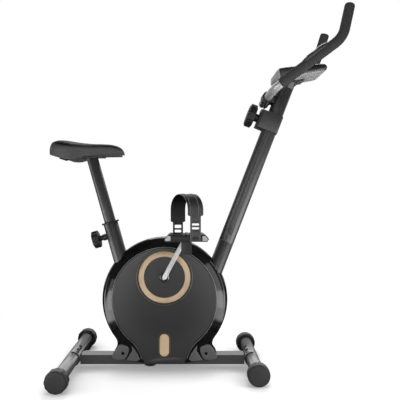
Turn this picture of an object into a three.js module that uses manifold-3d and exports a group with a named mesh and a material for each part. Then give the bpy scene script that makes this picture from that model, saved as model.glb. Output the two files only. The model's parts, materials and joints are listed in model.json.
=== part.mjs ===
// Upright magnetic exercise bike, in millimetres. X points forward (to the handlebar), Y to the
// rider's left and Z up. Stations along X are measured from a line 70 mm ahead of the crank axle;
// the last lines move the whole bike so that its origin is under the middle of its length.
import * as THREE from 'three';
import { mergeVertices } from 'three/addons/utils/BufferGeometryUtils.js';
import Module from 'manifold-3d';

const wasm = await Module();
wasm.setup();

// ---------------------------------------------------------------- driving dimensions
const clearance = 0.3;            // gap kept between pieces that touch
const fineSides = 30;             // facets round the discs of the drive
const plainSides = 20;            // facets round the frame's tubes
const smallSides = 12;            // facets round pins, bolts and spindles

// base
const railWidth = 42;
const railHeight = 30;
const railBottom = 16;
const railWall = 2;
const stabiliserRadius = 21;
const stabiliserWall = 1.8;
const rearX = -366;
const frontX = 210;
const rearSpan = 450;             // over the caps
const frontSpan = 346;            // over the wheels
const rearCapRadius = 34;
const rearCapLobes = 12;
const frontWheelRadius = 33.5;
const frontWheelRibs = 28;
const capDepth = 28;
const capPocket = 20;             // depth of the ring-shaped recess behind an end piece
const spigotLength = 30;
const faceRelief = 1.2;           // raised ring on the face of an end piece
const bracketHalfWidth = 26;
const bracketThickness = 3;
const footHalf = 13;
const footHeight = 20;
const footOffset = 5;             // from the tube's axis
const footLength = 22;
const centreFootX = -118;
const centreFootLength = 43;
const centreFootHeight = 8;

// seat tube and post
const seatTopX = -247;            // top of the seat tube, on its axis
const seatTopZ = 467;
const seatLean = 15.8 * Math.PI / 180;
const seatTubeRadius = 23.75;
const tubeWall = 2;
const seatPostRadius = 18.5;
const seatPostHidden = 180;       // post length inside the tube
const collarProud = 5;
const collarHeight = 6;
const collarDepth = 55;
const seatPinDrop = 38;           // pin axis below the top of the tube
const seatPinRadius = 5;
const seatPinBossEnd = 36;        // distances from the tube's axis
const seatKnobFace = 47.3;
const seatKnobRadius = 28;
const seatKnobThickness = 22;

// saddle
const saddleRearX = -441;
const saddleNoseX = -199;
const saddleHalfWidth = 99;
const saddleTopZ = 736;
const saddleUnderZ = 690;         // underside of the cushion over the pan
const panThickness = 7;
const bellyThickness = 3;         // of the pan under the cushion's rear half
const clampPlate = 3;
const clampPlug = 45;             // length of the clamp's plug inside the post

// front mast
const mastLean = 21.2 * Math.PI / 180;
const mastX = 142.7;              // a point on the mast's axis
const mastZ = 445;
const mastRadius = 24.5;
const mastSeamZ = 408;
const mastTopZ = 905;
const mastSpigotLength = 80;
const mastBoltZ = 443;
const boltRadius = 4;

// tension unit
const tensionDrop = 115;          // below the top of the mast
const tensionHeight = 58;
const tensionDepth = 2 * mastRadius + 26;
const tensionWidth = 2 * mastRadius + 9;
const tensionOffset = 12;         // towards the rider from the mast's axis
const tensionKnobRadius = 38;
const tensionKnobThickness = 26;
const tensionKnobFace = tensionOffset + tensionDepth / 2 + 10.8;
const tensionKnobRibs = 20;

// handlebar
const barRadius = 12.5;
const barWall = 1.8;
const barDrop = 31;               // below the top of the mast
const barSetback = mastRadius + 23.6;
const barHalfFlat = 88;           // straight part each side of the clamp
const barArmY = 152;
const barTipY = 130;
const barElbowAhead = 197;        // from the bar's straight part
const barElbowRise = 146;
const barTipAhead = 224.5;
const barTipRise = 246;
const barElbowReach = 30;         // length of the bend each side of the elbow
const gripRadius = 15.5;
const gripEnd = 9;
const gripStart = 2;              // steps of the bend left bare below the grip
const bendSteps = 4;
const gripSides = 12;
const clampHalfWidth = 23;
const clampWall = 5;

// console
const consoleAhead = 39.9;        // from the top of the mast
const consoleRise = 43.5;
const consolePitch = 8 * Math.PI / 180;
const consoleLength = 160;
const consoleWidth = 132;
const consoleRear = 38.6;         // thickness at the rider's end
const consoleFront = 25;
const consoleSplit = -0.74;       // height of the seam, as a share of half the thickness
const consoleHeel = 8;            // length of the base's upright at the rider's end

// shell
const shellX = -70.5;
const shellZ = 222;
const shellRadius = 202;
const shellHalf = 48;
const shellWall = 3;
const shellBottom = 29;
const shellTipHalf = 168;
const shellTipZ = 46;
const panelRadius = 164;
const panelZ = 227;
const panelBottomHalf = 64;
const rimHoleX = -250;            // screw hole in the shell's bevel
const rimHoleZ = 258.6;

// crank and drive
const crankX = -70;
const crankZ = 300;
const crankLength = 150;
const crankAngle = 27.5 * Math.PI / 180;
const axleRadius = 10;
const axleEndRadius = 6;          // where the cranks sit
const collarRadius = 14;          // dust collar on the axle, inside the cover's hole
const hubRadius = 10.5;
const hubInner = shellHalf + 6;   // distances from the mid-plane
const hubOuter = hubInner + 15;
const eyeRadius = 11;
const eyeInner = hubOuter + 1;
const eyeOuter = eyeInner + 14;
const armHub = 7.5;               // half width of the crank's arm at the axle and the pedal
const armEye = 6.5;
const spindleRadius = 6.5;
const coverRadius = 90;
const coverThickness = 3.2;
const coverHoleRadius = 15.5;
const coverSpigotRadius = 83.7;
const ringInner = 65;
const ringOuter = 81.5;
const ringDepth = 1.4;
const ringProud = 0.5;
const pulleyRadius = 86;
const pulleyInner = mastRadius + 3.5;
const pulleyWidth = 10;
const pulleyFlange = 3.4;
const pulleyWindows = 5;
const beltThickness = 3;
const flywheelZ = 150;
const flywheelRadius = 100;
const flywheelInner = mastRadius + 1.5;
const flywheelOuter = 42;
const flywheelWidth = flywheelOuter - flywheelInner;
const smallPulleyRadius = 15;
const flywheelShaftRadius = 8;
const strutWidth = 24;
const magnetPinRadius = 5;
const magnetReach = 122;          // pivot of the brake arm from the flywheel's axis
const magnetPivotAngle = -9.5 * Math.PI / 180;
const inlayWidth = 30;
const inlayHeight = 71;
const inlayZ = 85;
const inlayDepth = 1.2;
const inlayProud = 0.6;

// pedals
const pedalLength = 130;
const pedalWidth = 90;
const pedalThickness = 22;
const pedalGap = 8;               // from the crank's eye to the pedal
const pedalWeightDepth = 46;
const pedalWeightHalf = 40;
const strapHeight = 128;          // top of the strap above the spindle
const strapThickness = 2.2;
const strapWide = 45;
const strapNarrow = 31;
const strapSkew = 26;             // the strap's ends lie this far each side of the spindle
const outerShoulder = 67;         // where the strap widens, above the spindle
const innerShoulder = 45;
const pegHalf = 9;                // half width of the pedal's peg in the strap's end slot

// ---------------------------------------------------------------- colours
const finish = {
  steel: { color: 0x4c4c4c, roughness: 0.45, metalness: 0.2 },
  shell: { color: 0x343434, roughness: 0.35, metalness: 0.0 },
  plastic: { color: 0x2b2b2b, roughness: 0.5, metalness: 0.0 },
  rubber: { color: 0x1c1c1c, roughness: 0.8, metalness: 0.0 },
  gold: { color: 0xc9af8c, roughness: 0.4, metalness: 0.1 },
  silver: { color: 0xc8c8c8, roughness: 0.3, metalness: 0.9 },
  iron: { color: 0x6a6a6a, roughness: 0.5, metalness: 0.8 },
  cushion: { color: 0x3f3f3f, roughness: 0.6, metalness: 0.0 },
  lightPlastic: { color: 0x9a9a9a, roughness: 0.5, metalness: 0.0 },
  lens: { color: 0x20262a, roughness: 0.1, metalness: 0.0 },
};

// ---------------------------------------------------------------- shape helpers
const bike = new THREE.Group();

function addPart(name, geometry, look) {
  geometry.computeVertexNormals();
  const mesh = new THREE.Mesh(geometry, new THREE.MeshStandardMaterial(finish[look]));
  mesh.name = name;
  bike.add(mesh);
}

// A closed geometry becomes a solid, with its faces turned outward.
function solid(geometry) {
  const bare = geometry.clone();
  bare.deleteAttribute('normal');
  bare.deleteAttribute('uv');
  const merged = mergeVertices(bare, 1e-4);
  const points = merged.attributes.position.array;
  const index = Uint32Array.from(merged.index.array);
  if (signedVolume(points, index) < 0) {
    for (let i = 0; i < index.length; i += 3) {
      [index[i], index[i + 1]] = [index[i + 1], index[i]];
    }
  }
  return new wasm.Manifold(new wasm.Mesh({
    numProp: 3, vertProperties: Float32Array.from(points), triVerts: index,
  }));
}

function signedVolume(points, index) {
  const [a, b, c] = [new THREE.Vector3(), new THREE.Vector3(), new THREE.Vector3()];
  let total = 0;
  for (let i = 0; i < index.length; i += 3) {
    a.fromArray(points, 3 * index[i]);
    b.fromArray(points, 3 * index[i + 1]);
    c.fromArray(points, 3 * index[i + 2]);
    total += a.dot(b.cross(c));
  }
  return total / 6;
}

function geometryOf(shape) {
  const mesh = shape.getMesh();
  const geometry = new THREE.BufferGeometry();
  geometry.setAttribute('position', new THREE.BufferAttribute(mesh.vertProperties, 3));
  geometry.setIndex(new THREE.BufferAttribute(mesh.triVerts, 1));
  return geometry;
}

function join(first, ...rest) {
  return rest.reduce((sum, item) => sum.add(item), first);
}

function cut(first, ...rest) {
  return rest.reduce((sum, item) => sum.subtract(item), first);
}

// Radius of a round hole with flat facets that clears a shaft of radius r.
function holeRadius(r, sides, gap = clearance) {
  return (r + gap) / Math.cos(Math.PI / sides);
}

// Radius of a plug with flat facets that clears a bore of radius r with the same facets.
function plugRadius(r, sides = smallSides) {
  return (r - clearance) * Math.cos(Math.PI / sides);
}

// An axis in the mid-plane: an origin, a direction along it and one across it.
function axisFrame(x, z, lean) {
  return {
    origin: new THREE.Vector3(x, 0, z),
    along: new THREE.Vector3(Math.sin(lean), 0, Math.cos(lean)),
    across: new THREE.Vector3(-Math.cos(lean), 0, Math.sin(lean)),
  };
}

// The point at a distance along the axis, a distance across it (towards the rider) and at y.
function onAxis(frame, along, across = 0, y = 0) {
  const point = frame.origin.clone();
  point.addScaledVector(frame.along, along);
  point.addScaledVector(frame.across, across);
  point.y += y;
  return point;
}

function rod(from, to, radius, sides = plainSides, endRadius = radius) {
  const reach = to.clone().sub(from);
  const geometry = new THREE.CylinderGeometry(endRadius, radius, reach.length(), sides);
  geometry.translate(0, reach.length() / 2, 0);
  const turn = new THREE.Quaternion().setFromUnitVectors(
    new THREE.Vector3(0, 1, 0), reach.clone().normalize());
  geometry.applyQuaternion(turn);
  geometry.translate(from.x, from.y, from.z);
  return solid(geometry);
}

function rodY(x, z, y0, y1, radius, sides = plainSides) {
  return rod(new THREE.Vector3(x, y0, z), new THREE.Vector3(x, y1, z), radius, sides);
}

function box(x0, x1, y0, y1, z0, z1) {
  const geometry = new THREE.BoxGeometry(x1 - x0, y1 - y0, z1 - z0);
  geometry.translate((x0 + x1) / 2, (y0 + y1) / 2, (z0 + z1) / 2);
  return solid(geometry);
}

// A profile of [radius, distance] pairs turned about an axis from a point along a direction.
function turned(profile, from, direction, sides = plainSides) {
  const points = profile.map(([radius, distance]) => new THREE.Vector2(radius, distance));
  const geometry = new THREE.LatheGeometry(points, sides);
  const turn = new THREE.Quaternion().setFromUnitVectors(
    new THREE.Vector3(0, 1, 0), direction.clone().normalize());
  geometry.applyQuaternion(turn);
  geometry.translate(from.x, from.y, from.z);
  return solid(geometry);
}

// A shape drawn in X and Z, pushed through from y0 to y1.
function slab(shape, y0, y1, curveSegments = 8) {
  const geometry = new THREE.ExtrudeGeometry(shape, {
    depth: y1 - y0, bevelEnabled: false, curveSegments,
  });
  geometry.rotateX(Math.PI / 2);
  geometry.translate(0, y1, 0);
  return solid(geometry);
}

// Rings of equally many points, skinned in order and closed at both ends.
function loft(rings) {
  const count = rings[0].length;
  const vertices = rings.flat().flatMap((point) => [point.x, point.y, point.z]);
  const index = [];
  for (let ring = 0; ring + 1 < rings.length; ring += 1) {
    for (let i = 0; i < count; i += 1) {
      const next = (i + 1) % count;
      const a = ring * count + i;
      const b = ring * count + next;
      index.push(a, b, a + count, b, b + count, a + count);
    }
  }
  const flat = rings[0].map((point) => flatten(point, rings[0]));
  const lastFlat = rings.at(-1).map((point) => flatten(point, rings.at(-1)));
  const last = (rings.length - 1) * count;
  for (const [a, b, c] of THREE.ShapeUtils.triangulateShape(flat, [])) {
    index.push(...orient([a, b, c], flat, false));
  }
  for (const [a, b, c] of THREE.ShapeUtils.triangulateShape(lastFlat, [])) {
    index.push(...orient([a, b, c], lastFlat, true).map((i) => i + last));
  }
  const geometry = new THREE.BufferGeometry();
  geometry.setAttribute('position', new THREE.Float32BufferAttribute(vertices, 3));
  geometry.setIndex(index);
  return solid(geometry);
}

// A ring's point in the ring's own plane, found from the ring's area vector.
function flatten(point, ring) {
  const normal = ringNormal(ring);
  const right = new THREE.Vector3(normal.z, normal.x, normal.y).cross(normal).normalize();
  const up = normal.clone().cross(right);
  return new THREE.Vector2(point.dot(right), point.dot(up));
}

function ringNormal(ring) {
  const normal = new THREE.Vector3();
  ring.forEach((point, i) => normal.add(point.clone().cross(ring[(i + 1) % ring.length])));
  return normal.normalize();
}

function orient(triangle, flat, keep) {
  const [a, b, c] = triangle.map((i) => flat[i]);
  const area = (b.x - a.x) * (c.y - a.y) - (b.y - a.y) * (c.x - a.x);
  const [i, j, k] = triangle;
  return (area > 0) === keep ? [i, j, k] : [j, i, k];
}

function mirroredY(shape) {
  return shape.mirror([0, 1, 0]);
}

// Builds the rider's right piece and its mirror image on the left.
function addPair(name, shape, look) {
  addPart(`${name}_right`, geometryOf(shape), look);
  addPart(`${name}_left`, geometryOf(mirroredY(shape)), look);
}

// ---------------------------------------------------------------- frames of reference
const seat = axisFrame(seatTopX, seatTopZ, -seatLean);
const seatAlong = (z) => (z - seatTopZ) / Math.cos(seatLean);
const mast = axisFrame(mastX, mastZ, mastLean);
const railTop = railBottom + railHeight;
const seatFoot = seatAlong(railTop);
const mastAlong = (z) => (z - mastZ) / Math.cos(mastLean);
const mastXAt = (z) => mastX + (z - mastZ) * Math.tan(mastLean);
const barZ = mastTopZ - barDrop;
const barX = mastXAt(barZ) - barSetback;
const consoleX = mastXAt(mastTopZ) + consoleAhead;
const consoleZ = mastTopZ + consoleRise;
const side = new THREE.Vector3(0, 1, 0);
const magnetPivot = new THREE.Vector3(
  crankX + magnetReach * Math.cos(magnetPivotAngle), 0,
  flywheelZ + magnetReach * Math.sin(magnetPivotAngle));

// ---------------------------------------------------------------- base
function mainRail() {
  const rearEnd = rearX + stabiliserRadius + bracketThickness + 2 * clearance;
  const frontEnd = frontX - stabiliserRadius - bracketThickness - 2 * clearance;
  const half = railWidth / 2;
  return cut(
    box(rearEnd, frontEnd, -half, half, railBottom, railTop),
    box(rearEnd - 1, frontEnd + 1, -half + railWall, half - railWall,
      railBottom + railWall, railTop - railWall),
  );
}

// A curved plate that hugs the stabiliser, on a short box that ends against the rail.
function saddleBracket(x, z, towards) {
  const inner = stabiliserRadius + clearance;
  const outer = inner + bracketThickness;
  const plate = new THREE.Shape();
  const start = -62 * Math.PI / 180;
  const end = 98 * Math.PI / 180;
  const at = (r, angle) => [x + towards * r * Math.cos(angle), z + r * Math.sin(angle)];
  const steps = 20;
  plate.moveTo(...at(outer, start));
  for (let i = 1; i <= steps; i += 1) {
    plate.lineTo(...at(outer, start + (end - start) * i / steps));
  }
  for (let i = steps; i >= 0; i -= 1) {
    plate.lineTo(...at(inner, start + (end - start) * i / steps));
  }
  let body = slab(plate, -bracketHalfWidth, bracketHalfWidth);
  for (const y of [-bracketHalfWidth + 9, bracketHalfWidth - 9]) {
    const tip = at(outer + 7, 1.0);
    const foot = at(outer - 1.5, 1.0);
    body = body.add(rod(new THREE.Vector3(foot[0], y, foot[1]),
      new THREE.Vector3(tip[0], y, tip[1]), 6.5, 6));
  }
  return body;
}

function stabiliserTube(x, z, span) {
  const half = span / 2 - capDepth - faceRelief - clearance;
  return cut(
    rodY(x, z, -half, half, stabiliserRadius, plainSides),
    rodY(x, z, -half - 1, half + 1, stabiliserRadius - stabiliserWall, plainSides),
  );
}

// An end piece on the tube's axis: a disc with a wavy rim and a spigot inside the tube.
function tubeEnd(x, z, span, radius, lobes, facetsPerLobe, depth, ringed) {
  const rim = new THREE.Shape();
  const steps = lobes * facetsPerLobe;
  for (let i = 0; i < steps; i += 1) {
    const angle = -Math.PI / 2 + 2 * Math.PI * i / steps;
    const r = radius - depth * (1 - Math.cos(lobes * (angle + Math.PI / 2))) / 2;
    const point = [x + r * Math.cos(angle), z + r * Math.sin(angle)];
    if (i === 0) {
      rim.moveTo(...point);
    } else {
      rim.lineTo(...point);
    }
  }
  const outer = -span / 2 + (ringed ? faceRelief : 0);
  const disc = slab(rim, outer, outer + capDepth);
  const face = turned([
    [radius * 0.62, -2], [radius * 0.82, -2], [radius * 0.8, faceRelief], [radius * 0.66, faceRelief],
    [radius * 0.62, -2],
  ], new THREE.Vector3(x, outer, z), new THREE.Vector3(0, -1, 0));
  const spigotRadius = plugRadius(stabiliserRadius - stabiliserWall, plainSides);
  const back = outer + capDepth;
  const spigot = rodY(x, z, back - capPocket - 1, back + spigotLength, spigotRadius, plainSides);
  const pocket = rodY(x, z, back - capPocket, back + 1, radius - depth - 3, plainSides);
  return ringed ? join(cut(disc, pocket), face, spigot) : join(cut(disc, pocket), spigot);
}

// A rubber foot that stands on the floor beside the tube, on the side that faces the rail.
function tubeFoot(x, z, span, towards) {
  const y = -span / 2 + faceRelief + capDepth + 4;
  const footX = x + towards * footOffset;
  const pad = new THREE.Shape([
    new THREE.Vector2(footX - footHalf + 3, 0),
    new THREE.Vector2(footX + footHalf - 3, 0),
    new THREE.Vector2(footX + footHalf, 6),
    new THREE.Vector2(footX + footHalf, footHeight),
    new THREE.Vector2(footX - footHalf, footHeight),
    new THREE.Vector2(footX - footHalf, 6),
  ]);
  return cut(slab(pad, y, y + footLength),
    rodY(x, z, y - 1, y + footLength + 1, holeRadius(stabiliserRadius, plainSides)));
}

function centreFoot() {
  const half = centreFootLength / 2;
  const base = railBottom - clearance - centreFootHeight;
  return turned([[0, 0], [half - 5, 0], [half - 1, 3], [half, centreFootHeight], [0, centreFootHeight]],
    new THREE.Vector3(centreFootX, 0, base), new THREE.Vector3(0, 0, 1), plainSides);
}

// ---------------------------------------------------------------- seat tube, post and saddle
const seatPinAlong = -seatPinDrop;
const seatPinPoint = (across) => onAxis(seat, seatPinAlong, across);

function seatTube() {
  const tube = rod(onAxis(seat, seatFoot - 20), onAxis(seat, 0), seatTubeRadius, plainSides);
  const boss = rod(seatPinPoint(seatTubeRadius - 1), seatPinPoint(seatPinBossEnd), 11, 6);
  const bore = rod(onAxis(seat, seatFoot - 21), onAxis(seat, 1), seatTubeRadius - tubeWall, plainSides);
  const pinHole = rod(seatPinPoint(10), seatPinPoint(seatPinBossEnd + 1),
    holeRadius(seatPinRadius, smallSides), smallSides);
  const floor = box(seatTopX - 60, 0, -60, 60, -10, railTop + clearance);
  return cut(join(tube, boss), bore, pinHole, floor);
}

function seatCollar() {
  const bore = holeRadius(seatPostRadius, plainSides);
  const sleeve = plugRadius(seatTubeRadius - tubeWall, plainSides);
  const lip = seatTubeRadius + collarProud;
  const ring = turned([
    [bore, -collarDepth], [sleeve, -collarDepth], [sleeve, clearance], [lip, clearance],
    [lip, collarHeight - 1.5], [lip - 1.5, collarHeight], [bore, collarHeight],
    [bore, -collarDepth],
  ], onAxis(seat, 0), seat.along);
  return cut(ring, rod(seatPinPoint(10), seatPinPoint(seatTubeRadius),
    holeRadius(seatPinRadius, smallSides), smallSides));
}

const clampPlateTop = saddleUnderZ - clearance - panThickness - clearance;
const postTop = clampPlateTop - clampPlate - clearance;

// A tube whose top is cut level under the clamp's plate.
function seatPost() {
  const above = seatAlong(postTop) + seatPostRadius;
  return cut(
    rod(onAxis(seat, -seatPostHidden), onAxis(seat, above), seatPostRadius),
    rod(onAxis(seat, -seatPostHidden - 1), onAxis(seat, above + 1), seatPostRadius - tubeWall),
    box(seatTopX - 200, seatTopX + 100, -60, 60, postTop, postTop + 60),
  );
}

function seatPin() {
  return rod(seatPinPoint(seatPostRadius + clearance), seatPinPoint(seatKnobFace + 2),
    seatPinRadius, smallSides);
}

function seatKnob() {
  const from = seatPinPoint(seatPinBossEnd + clearance);
  const neck = seatKnobFace - seatPinBossEnd - clearance;
  const far = neck + seatKnobThickness;
  const body = turned([
    [0, 0], [8, 0], [9.5, neck - 3], [seatKnobRadius - 3, neck], [seatKnobRadius, neck + 3],
    [seatKnobRadius, far - 3], [seatKnobRadius - 3, far], [0, far],
  ], from, seat.across, plainSides);
  const blind = rod(seatPinPoint(seatPinBossEnd - 1), seatPinPoint(seatKnobFace + 2 + clearance),
    holeRadius(seatPinRadius, smallSides), smallSides);
  const grooves = [];
  for (let i = 0; i < 6; i += 1) {
    const angle = Math.PI * 2 * (i + 0.5) / 6;
    const sway = (across) => seatPinPoint(across)
      .addScaledVector(seat.along, (seatKnobRadius + 5) * Math.cos(angle))
      .addScaledVector(side, (seatKnobRadius + 5) * Math.sin(angle));
    grooves.push(rod(sway(seatKnobFace - 2), sway(seatKnobFace + seatKnobThickness + 2), 8, 8));
  }
  return cut(body, blind, ...grooves);
}

// The cushion at stations from the rear: its distance along as a share of the length, half width
// as a share, crown height, lowest edge, underside, and the half width where the side turns under
// and where the underside begins, as shares of this station's.
const saddleForm = [
  [0.000, 0.25, 705.0, 684.0, 686.0, 0.90, 0.70], [0.021, 0.42, 719.0, 682.5, 684.5, 0.88, 0.68],
  [0.066, 0.64, 731.0, 680.5, 682.5, 0.84, 0.66], [0.157, 0.88, 735.5, 674.5, 676.0, 0.74, 0.60],
  [0.252, 1.00, 733.6, 667.0, 690.0, 0.66, 0.54], [0.326, 1.00, 730.5, 665.0, 690.0, 0.66, 0.54],
  [0.397, 0.93, 727.5, 668.5, 690.0, 0.70, 0.56], [0.459, 0.82, 725.5, 673.0, 690.0, 0.78, 0.62],
  [0.517, 0.70, 724.3, 676.5, 690.0, 0.84, 0.68], [0.603, 0.53, 724.2, 680.0, 690.0, 0.90, 0.74],
  [0.715, 0.40, 724.6, 681.5, 690.0, 0.92, 0.76], [0.818, 0.33, 723.8, 682.0, 690.0, 0.92, 0.76],
  [0.905, 0.29, 718.5, 682.5, 690.0, 0.92, 0.76], [0.959, 0.24, 711.0, 683.0, 690.0, 0.92, 0.76],
  [0.992, 0.15, 697.0, 684.5, 688.0, 0.90, 0.74], [1.000, 0.10, 693.0, 686.0, 688.0, 0.90, 0.74],
];

// A station's sizes in millimetres; the heights follow the crown's and the underside's.
function saddleAt(station) {
  const [share, width, crown, edge, under, turn, flat] = saddleForm[station];
  return {
    x: saddleRearX + share * (saddleNoseX - saddleRearX),
    half: width * saddleHalfWidth,
    top: crown - 736 + saddleTopZ,
    edge: edge - 690 + saddleUnderZ,
    under: under - 690 + saddleUnderZ,
    turn,
    flat,
  };
}

function saddleRing(station) {
  const { x, half, top, edge, under, turn, flat } = saddleAt(station);
  const drop = (top - edge) / 3;
  const outline = [
    [0, top], [0.4, top - 0.04 * drop], [0.7, top - 0.22 * drop], [0.88, top - 0.5 * drop],
    [0.97, top - 0.9 * drop], [1, top - 1.5 * drop], [0.35 + 0.65 * turn, edge + 0.7 * drop],
    [turn + 0.03, edge + 0.2 * drop], [turn, edge], [turn - 0.06, edge + 0.4], [flat, under],
    [0, under],
  ];
  const right = outline.map(([share, z]) => new THREE.Vector3(x, -share * half, z));
  const left = outline.slice(1, -1).reverse()
    .map(([share, z]) => new THREE.Vector3(x, share * half, z));
  return [...right, ...left];
}

function saddlePad() {
  return loft(saddleForm.map((_, station) => saddleRing(station)));
}

// The pan follows the cushion's underside, thin below its rear half and thicker over the clamp.
function saddlePan() {
  const rings = [];
  for (let station = 3; station < saddleForm.length - 2; station += 1) {
    const { x, half, under, flat } = saddleAt(station);
    const top = under - clearance;
    const thick = under < saddleUnderZ ? bellyThickness : panThickness;
    const wide = half * flat - 1;
    rings.push([
      [-wide, top], [wide, top], [wide, top - thick / 2], [wide - 4, top - thick],
      [4 - wide, top - thick], [-wide, top - thick / 2],
    ].map(([y, z]) => new THREE.Vector3(x, y, z)));
  }
  return loft(rings);
}

// A plate under the pan on a plug that sits inside the post.
function saddleClamp() {
  const middle = onAxis(seat, seatAlong(clampPlateTop));
  const plate = box(middle.x - 30, middle.x + 42, -22, 22, clampPlateTop - clampPlate, clampPlateTop);
  const plug = rod(onAxis(seat, seatAlong(postTop) - clampPlug), onAxis(seat, seatAlong(clampPlateTop) + 20),
    plugRadius(seatPostRadius - tubeWall, plainSides));
  const above = box(middle.x - 90, middle.x + 90, -60, 60, clampPlateTop, clampPlateTop + 60);
  return cut(join(plate, plug), above);
}

// ---------------------------------------------------------------- mast and tension unit
function mastStub() {
  const foot = mastAlong(railTop) - 20;
  const seam = mastAlong(mastSeamZ);
  const inner = plugRadius(mastRadius - tubeWall, plainSides);
  const tube = rod(onAxis(mast, foot), onAxis(mast, seam), mastRadius, plainSides);
  const spigot = rod(onAxis(mast, seam - 5), onAxis(mast, seam + mastSpigotLength), inner, plainSides);
  const bore = rod(onAxis(mast, foot - 1), onAxis(mast, seam + mastSpigotLength + 1),
    inner - tubeWall, smallSides);
  const bolt = boltHole();
  const floor = box(-120, 120, -60, 60, -40, railTop + clearance);
  return join(cut(join(tube, spigot), bore, bolt, floor), brakeLug());
}

// A welded lug and pin on the front of the stub that carry the brake arm.
function brakeLug() {
  const atTube = onAxis(mast, mastAlong(magnetPivot.z), -mastRadius + 1);
  const lug = box(atTube.x, magnetPivot.x + 8, 12, flywheelInner - 1.5,
    magnetPivot.z - 8, magnetPivot.z + 8);
  const pin = rodY(magnetPivot.x, magnetPivot.z, flywheelInner - 2,
    flywheelInner + flywheelWidth, magnetPinRadius, smallSides);
  return join(lug, pin);
}

function boltHole() {
  const at = onAxis(mast, mastAlong(mastBoltZ));
  return rodY(at.x, at.z, -mastRadius - 20, mastRadius + 20, holeRadius(boltRadius, smallSides), smallSides);
}

function mastPost() {
  const seam = mastAlong(mastSeamZ) + clearance;
  const top = mastAlong(mastTopZ);
  return cut(
    rod(onAxis(mast, seam), onAxis(mast, top), mastRadius, plainSides),
    rod(onAxis(mast, seam - 1), onAxis(mast, top + 1), mastRadius - tubeWall, plainSides),
    boltHole(),
  );
}

function mastBolt() {
  const at = onAxis(mast, mastAlong(mastBoltZ));
  const face = mastRadius + clearance;
  return join(
    rodY(at.x, at.z, -face - 1, face + 8, boltRadius, smallSides),
    rodY(at.x, at.z, -face - 6, -face, 7.5, 6),
    rodY(at.x, at.z, face, face + 6, 7.5, 6),
  );
}

// A box with rounded vertical edges, in a frame of along, across and y.
function blockOnAxis(frame, along0, along1, across0, across1, halfWidth, corner) {
  const shape = new THREE.Shape();
  const [w, r] = [halfWidth, corner];
  shape.moveTo(across0 + r, -w);
  shape.lineTo(across1 - r, -w);
  shape.absarc(across1 - r, -w + r, r, -Math.PI / 2, 0, false);
  shape.lineTo(across1, w - r);
  shape.absarc(across1 - r, w - r, r, 0, Math.PI / 2, false);
  shape.lineTo(across0 + r, w);
  shape.absarc(across0 + r, w - r, r, Math.PI / 2, Math.PI, false);
  shape.lineTo(across0, -w + r);
  shape.absarc(across0 + r, -w + r, r, Math.PI, 1.5 * Math.PI, false);
  const geometry = new THREE.ExtrudeGeometry(shape, {
    depth: along1 - along0, bevelEnabled: false, curveSegments: 3,
  });
  geometry.translate(0, 0, along0);
  const basis = new THREE.Matrix4().makeBasis(frame.across, side, frame.along);
  basis.setPosition(frame.origin);
  geometry.applyMatrix4(basis);
  return solid(geometry);
}

const tensionAlong = mastAlong(mastTopZ - tensionDrop);
const tensionFace = tensionOffset + tensionDepth / 2;
const tensionShaftRadius = 5;

function tensionHousing() {
  const half = tensionHeight / 2;
  const body = blockOnAxis(mast, tensionAlong - half, tensionAlong + half,
    tensionOffset - tensionDepth / 2, tensionFace, tensionWidth / 2, 12);
  const bore = rod(onAxis(mast, tensionAlong - half - 1), onAxis(mast, tensionAlong + half + 1),
    holeRadius(mastRadius, plainSides), plainSides);
  const shaft = rod(onAxis(mast, tensionAlong, mastRadius + 4),
    onAxis(mast, tensionAlong, tensionFace + 1), holeRadius(tensionShaftRadius, smallSides), smallSides);
  return cut(body, bore, shaft);
}

function tensionKnob() {
  const from = onAxis(mast, tensionAlong, mastRadius + 6);
  const start = tensionKnobFace - mastRadius - 6;
  const shaftEnd = tensionFace - mastRadius - 6 + clearance;
  const far = start + tensionKnobThickness;
  const body = turned([
    [0, 0], [tensionShaftRadius, 0], [tensionShaftRadius, shaftEnd], [13, shaftEnd], [13, start],
    [tensionKnobRadius - 4, start], [tensionKnobRadius - 4, far - 3], [tensionKnobRadius - 7, far],
    [0, far],
  ], from, mast.across);
  const rim = new THREE.Shape();
  const steps = tensionKnobRibs * 2;
  for (let i = 0; i < steps; i += 1) {
    const angle = Math.PI * 2 * i / steps;
    const r = tensionKnobRadius - (i % 2) * 2.5;
    rim.lineTo(r * Math.cos(angle), r * Math.sin(angle));
  }
  const ribbed = new THREE.ExtrudeGeometry(rim, {
    depth: tensionKnobThickness - 6, bevelEnabled: false,
  });
  const basis = new THREE.Matrix4().makeBasis(mast.along, side, mast.across);
  basis.setPosition(onAxis(mast, tensionAlong, tensionKnobFace + 2));
  ribbed.applyMatrix4(basis);
  return join(body, solid(ribbed));
}

// ---------------------------------------------------------------- handlebar
const barCorner = new THREE.Vector3(barX, -barArmY + 8, barZ);
const barElbow = new THREE.Vector3(barX + barElbowAhead, -barArmY, barZ + barElbowRise);
const barTip = new THREE.Vector3(barX + barTipAhead, -barTipY, barZ + barTipRise);

function towards(from, to, distance) {
  return from.clone().add(to.clone().sub(from).setLength(distance));
}

// The rider's right half of the bar, from the middle of the flat to the tip.
function armCurves() {
  const flatEnd = new THREE.Vector3(barX, -barHalfFlat, barZ);
  const riseStart = towards(barCorner, barElbow, 58);
  const riseEnd = towards(barElbow, barCorner, barElbowReach);
  const hornStart = towards(barElbow, barTip, barElbowReach);
  return {
    flat: new THREE.LineCurve3(new THREE.Vector3(barX, 0, barZ), flatEnd),
    bend: new THREE.QuadraticBezierCurve3(flatEnd, barCorner, riseStart),
    rise: new THREE.LineCurve3(riseStart, riseEnd),
    elbow: new THREE.QuadraticBezierCurve3(riseEnd, barElbow, hornStart),
    horn: new THREE.LineCurve3(hornStart, barTip),
  };
}

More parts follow.
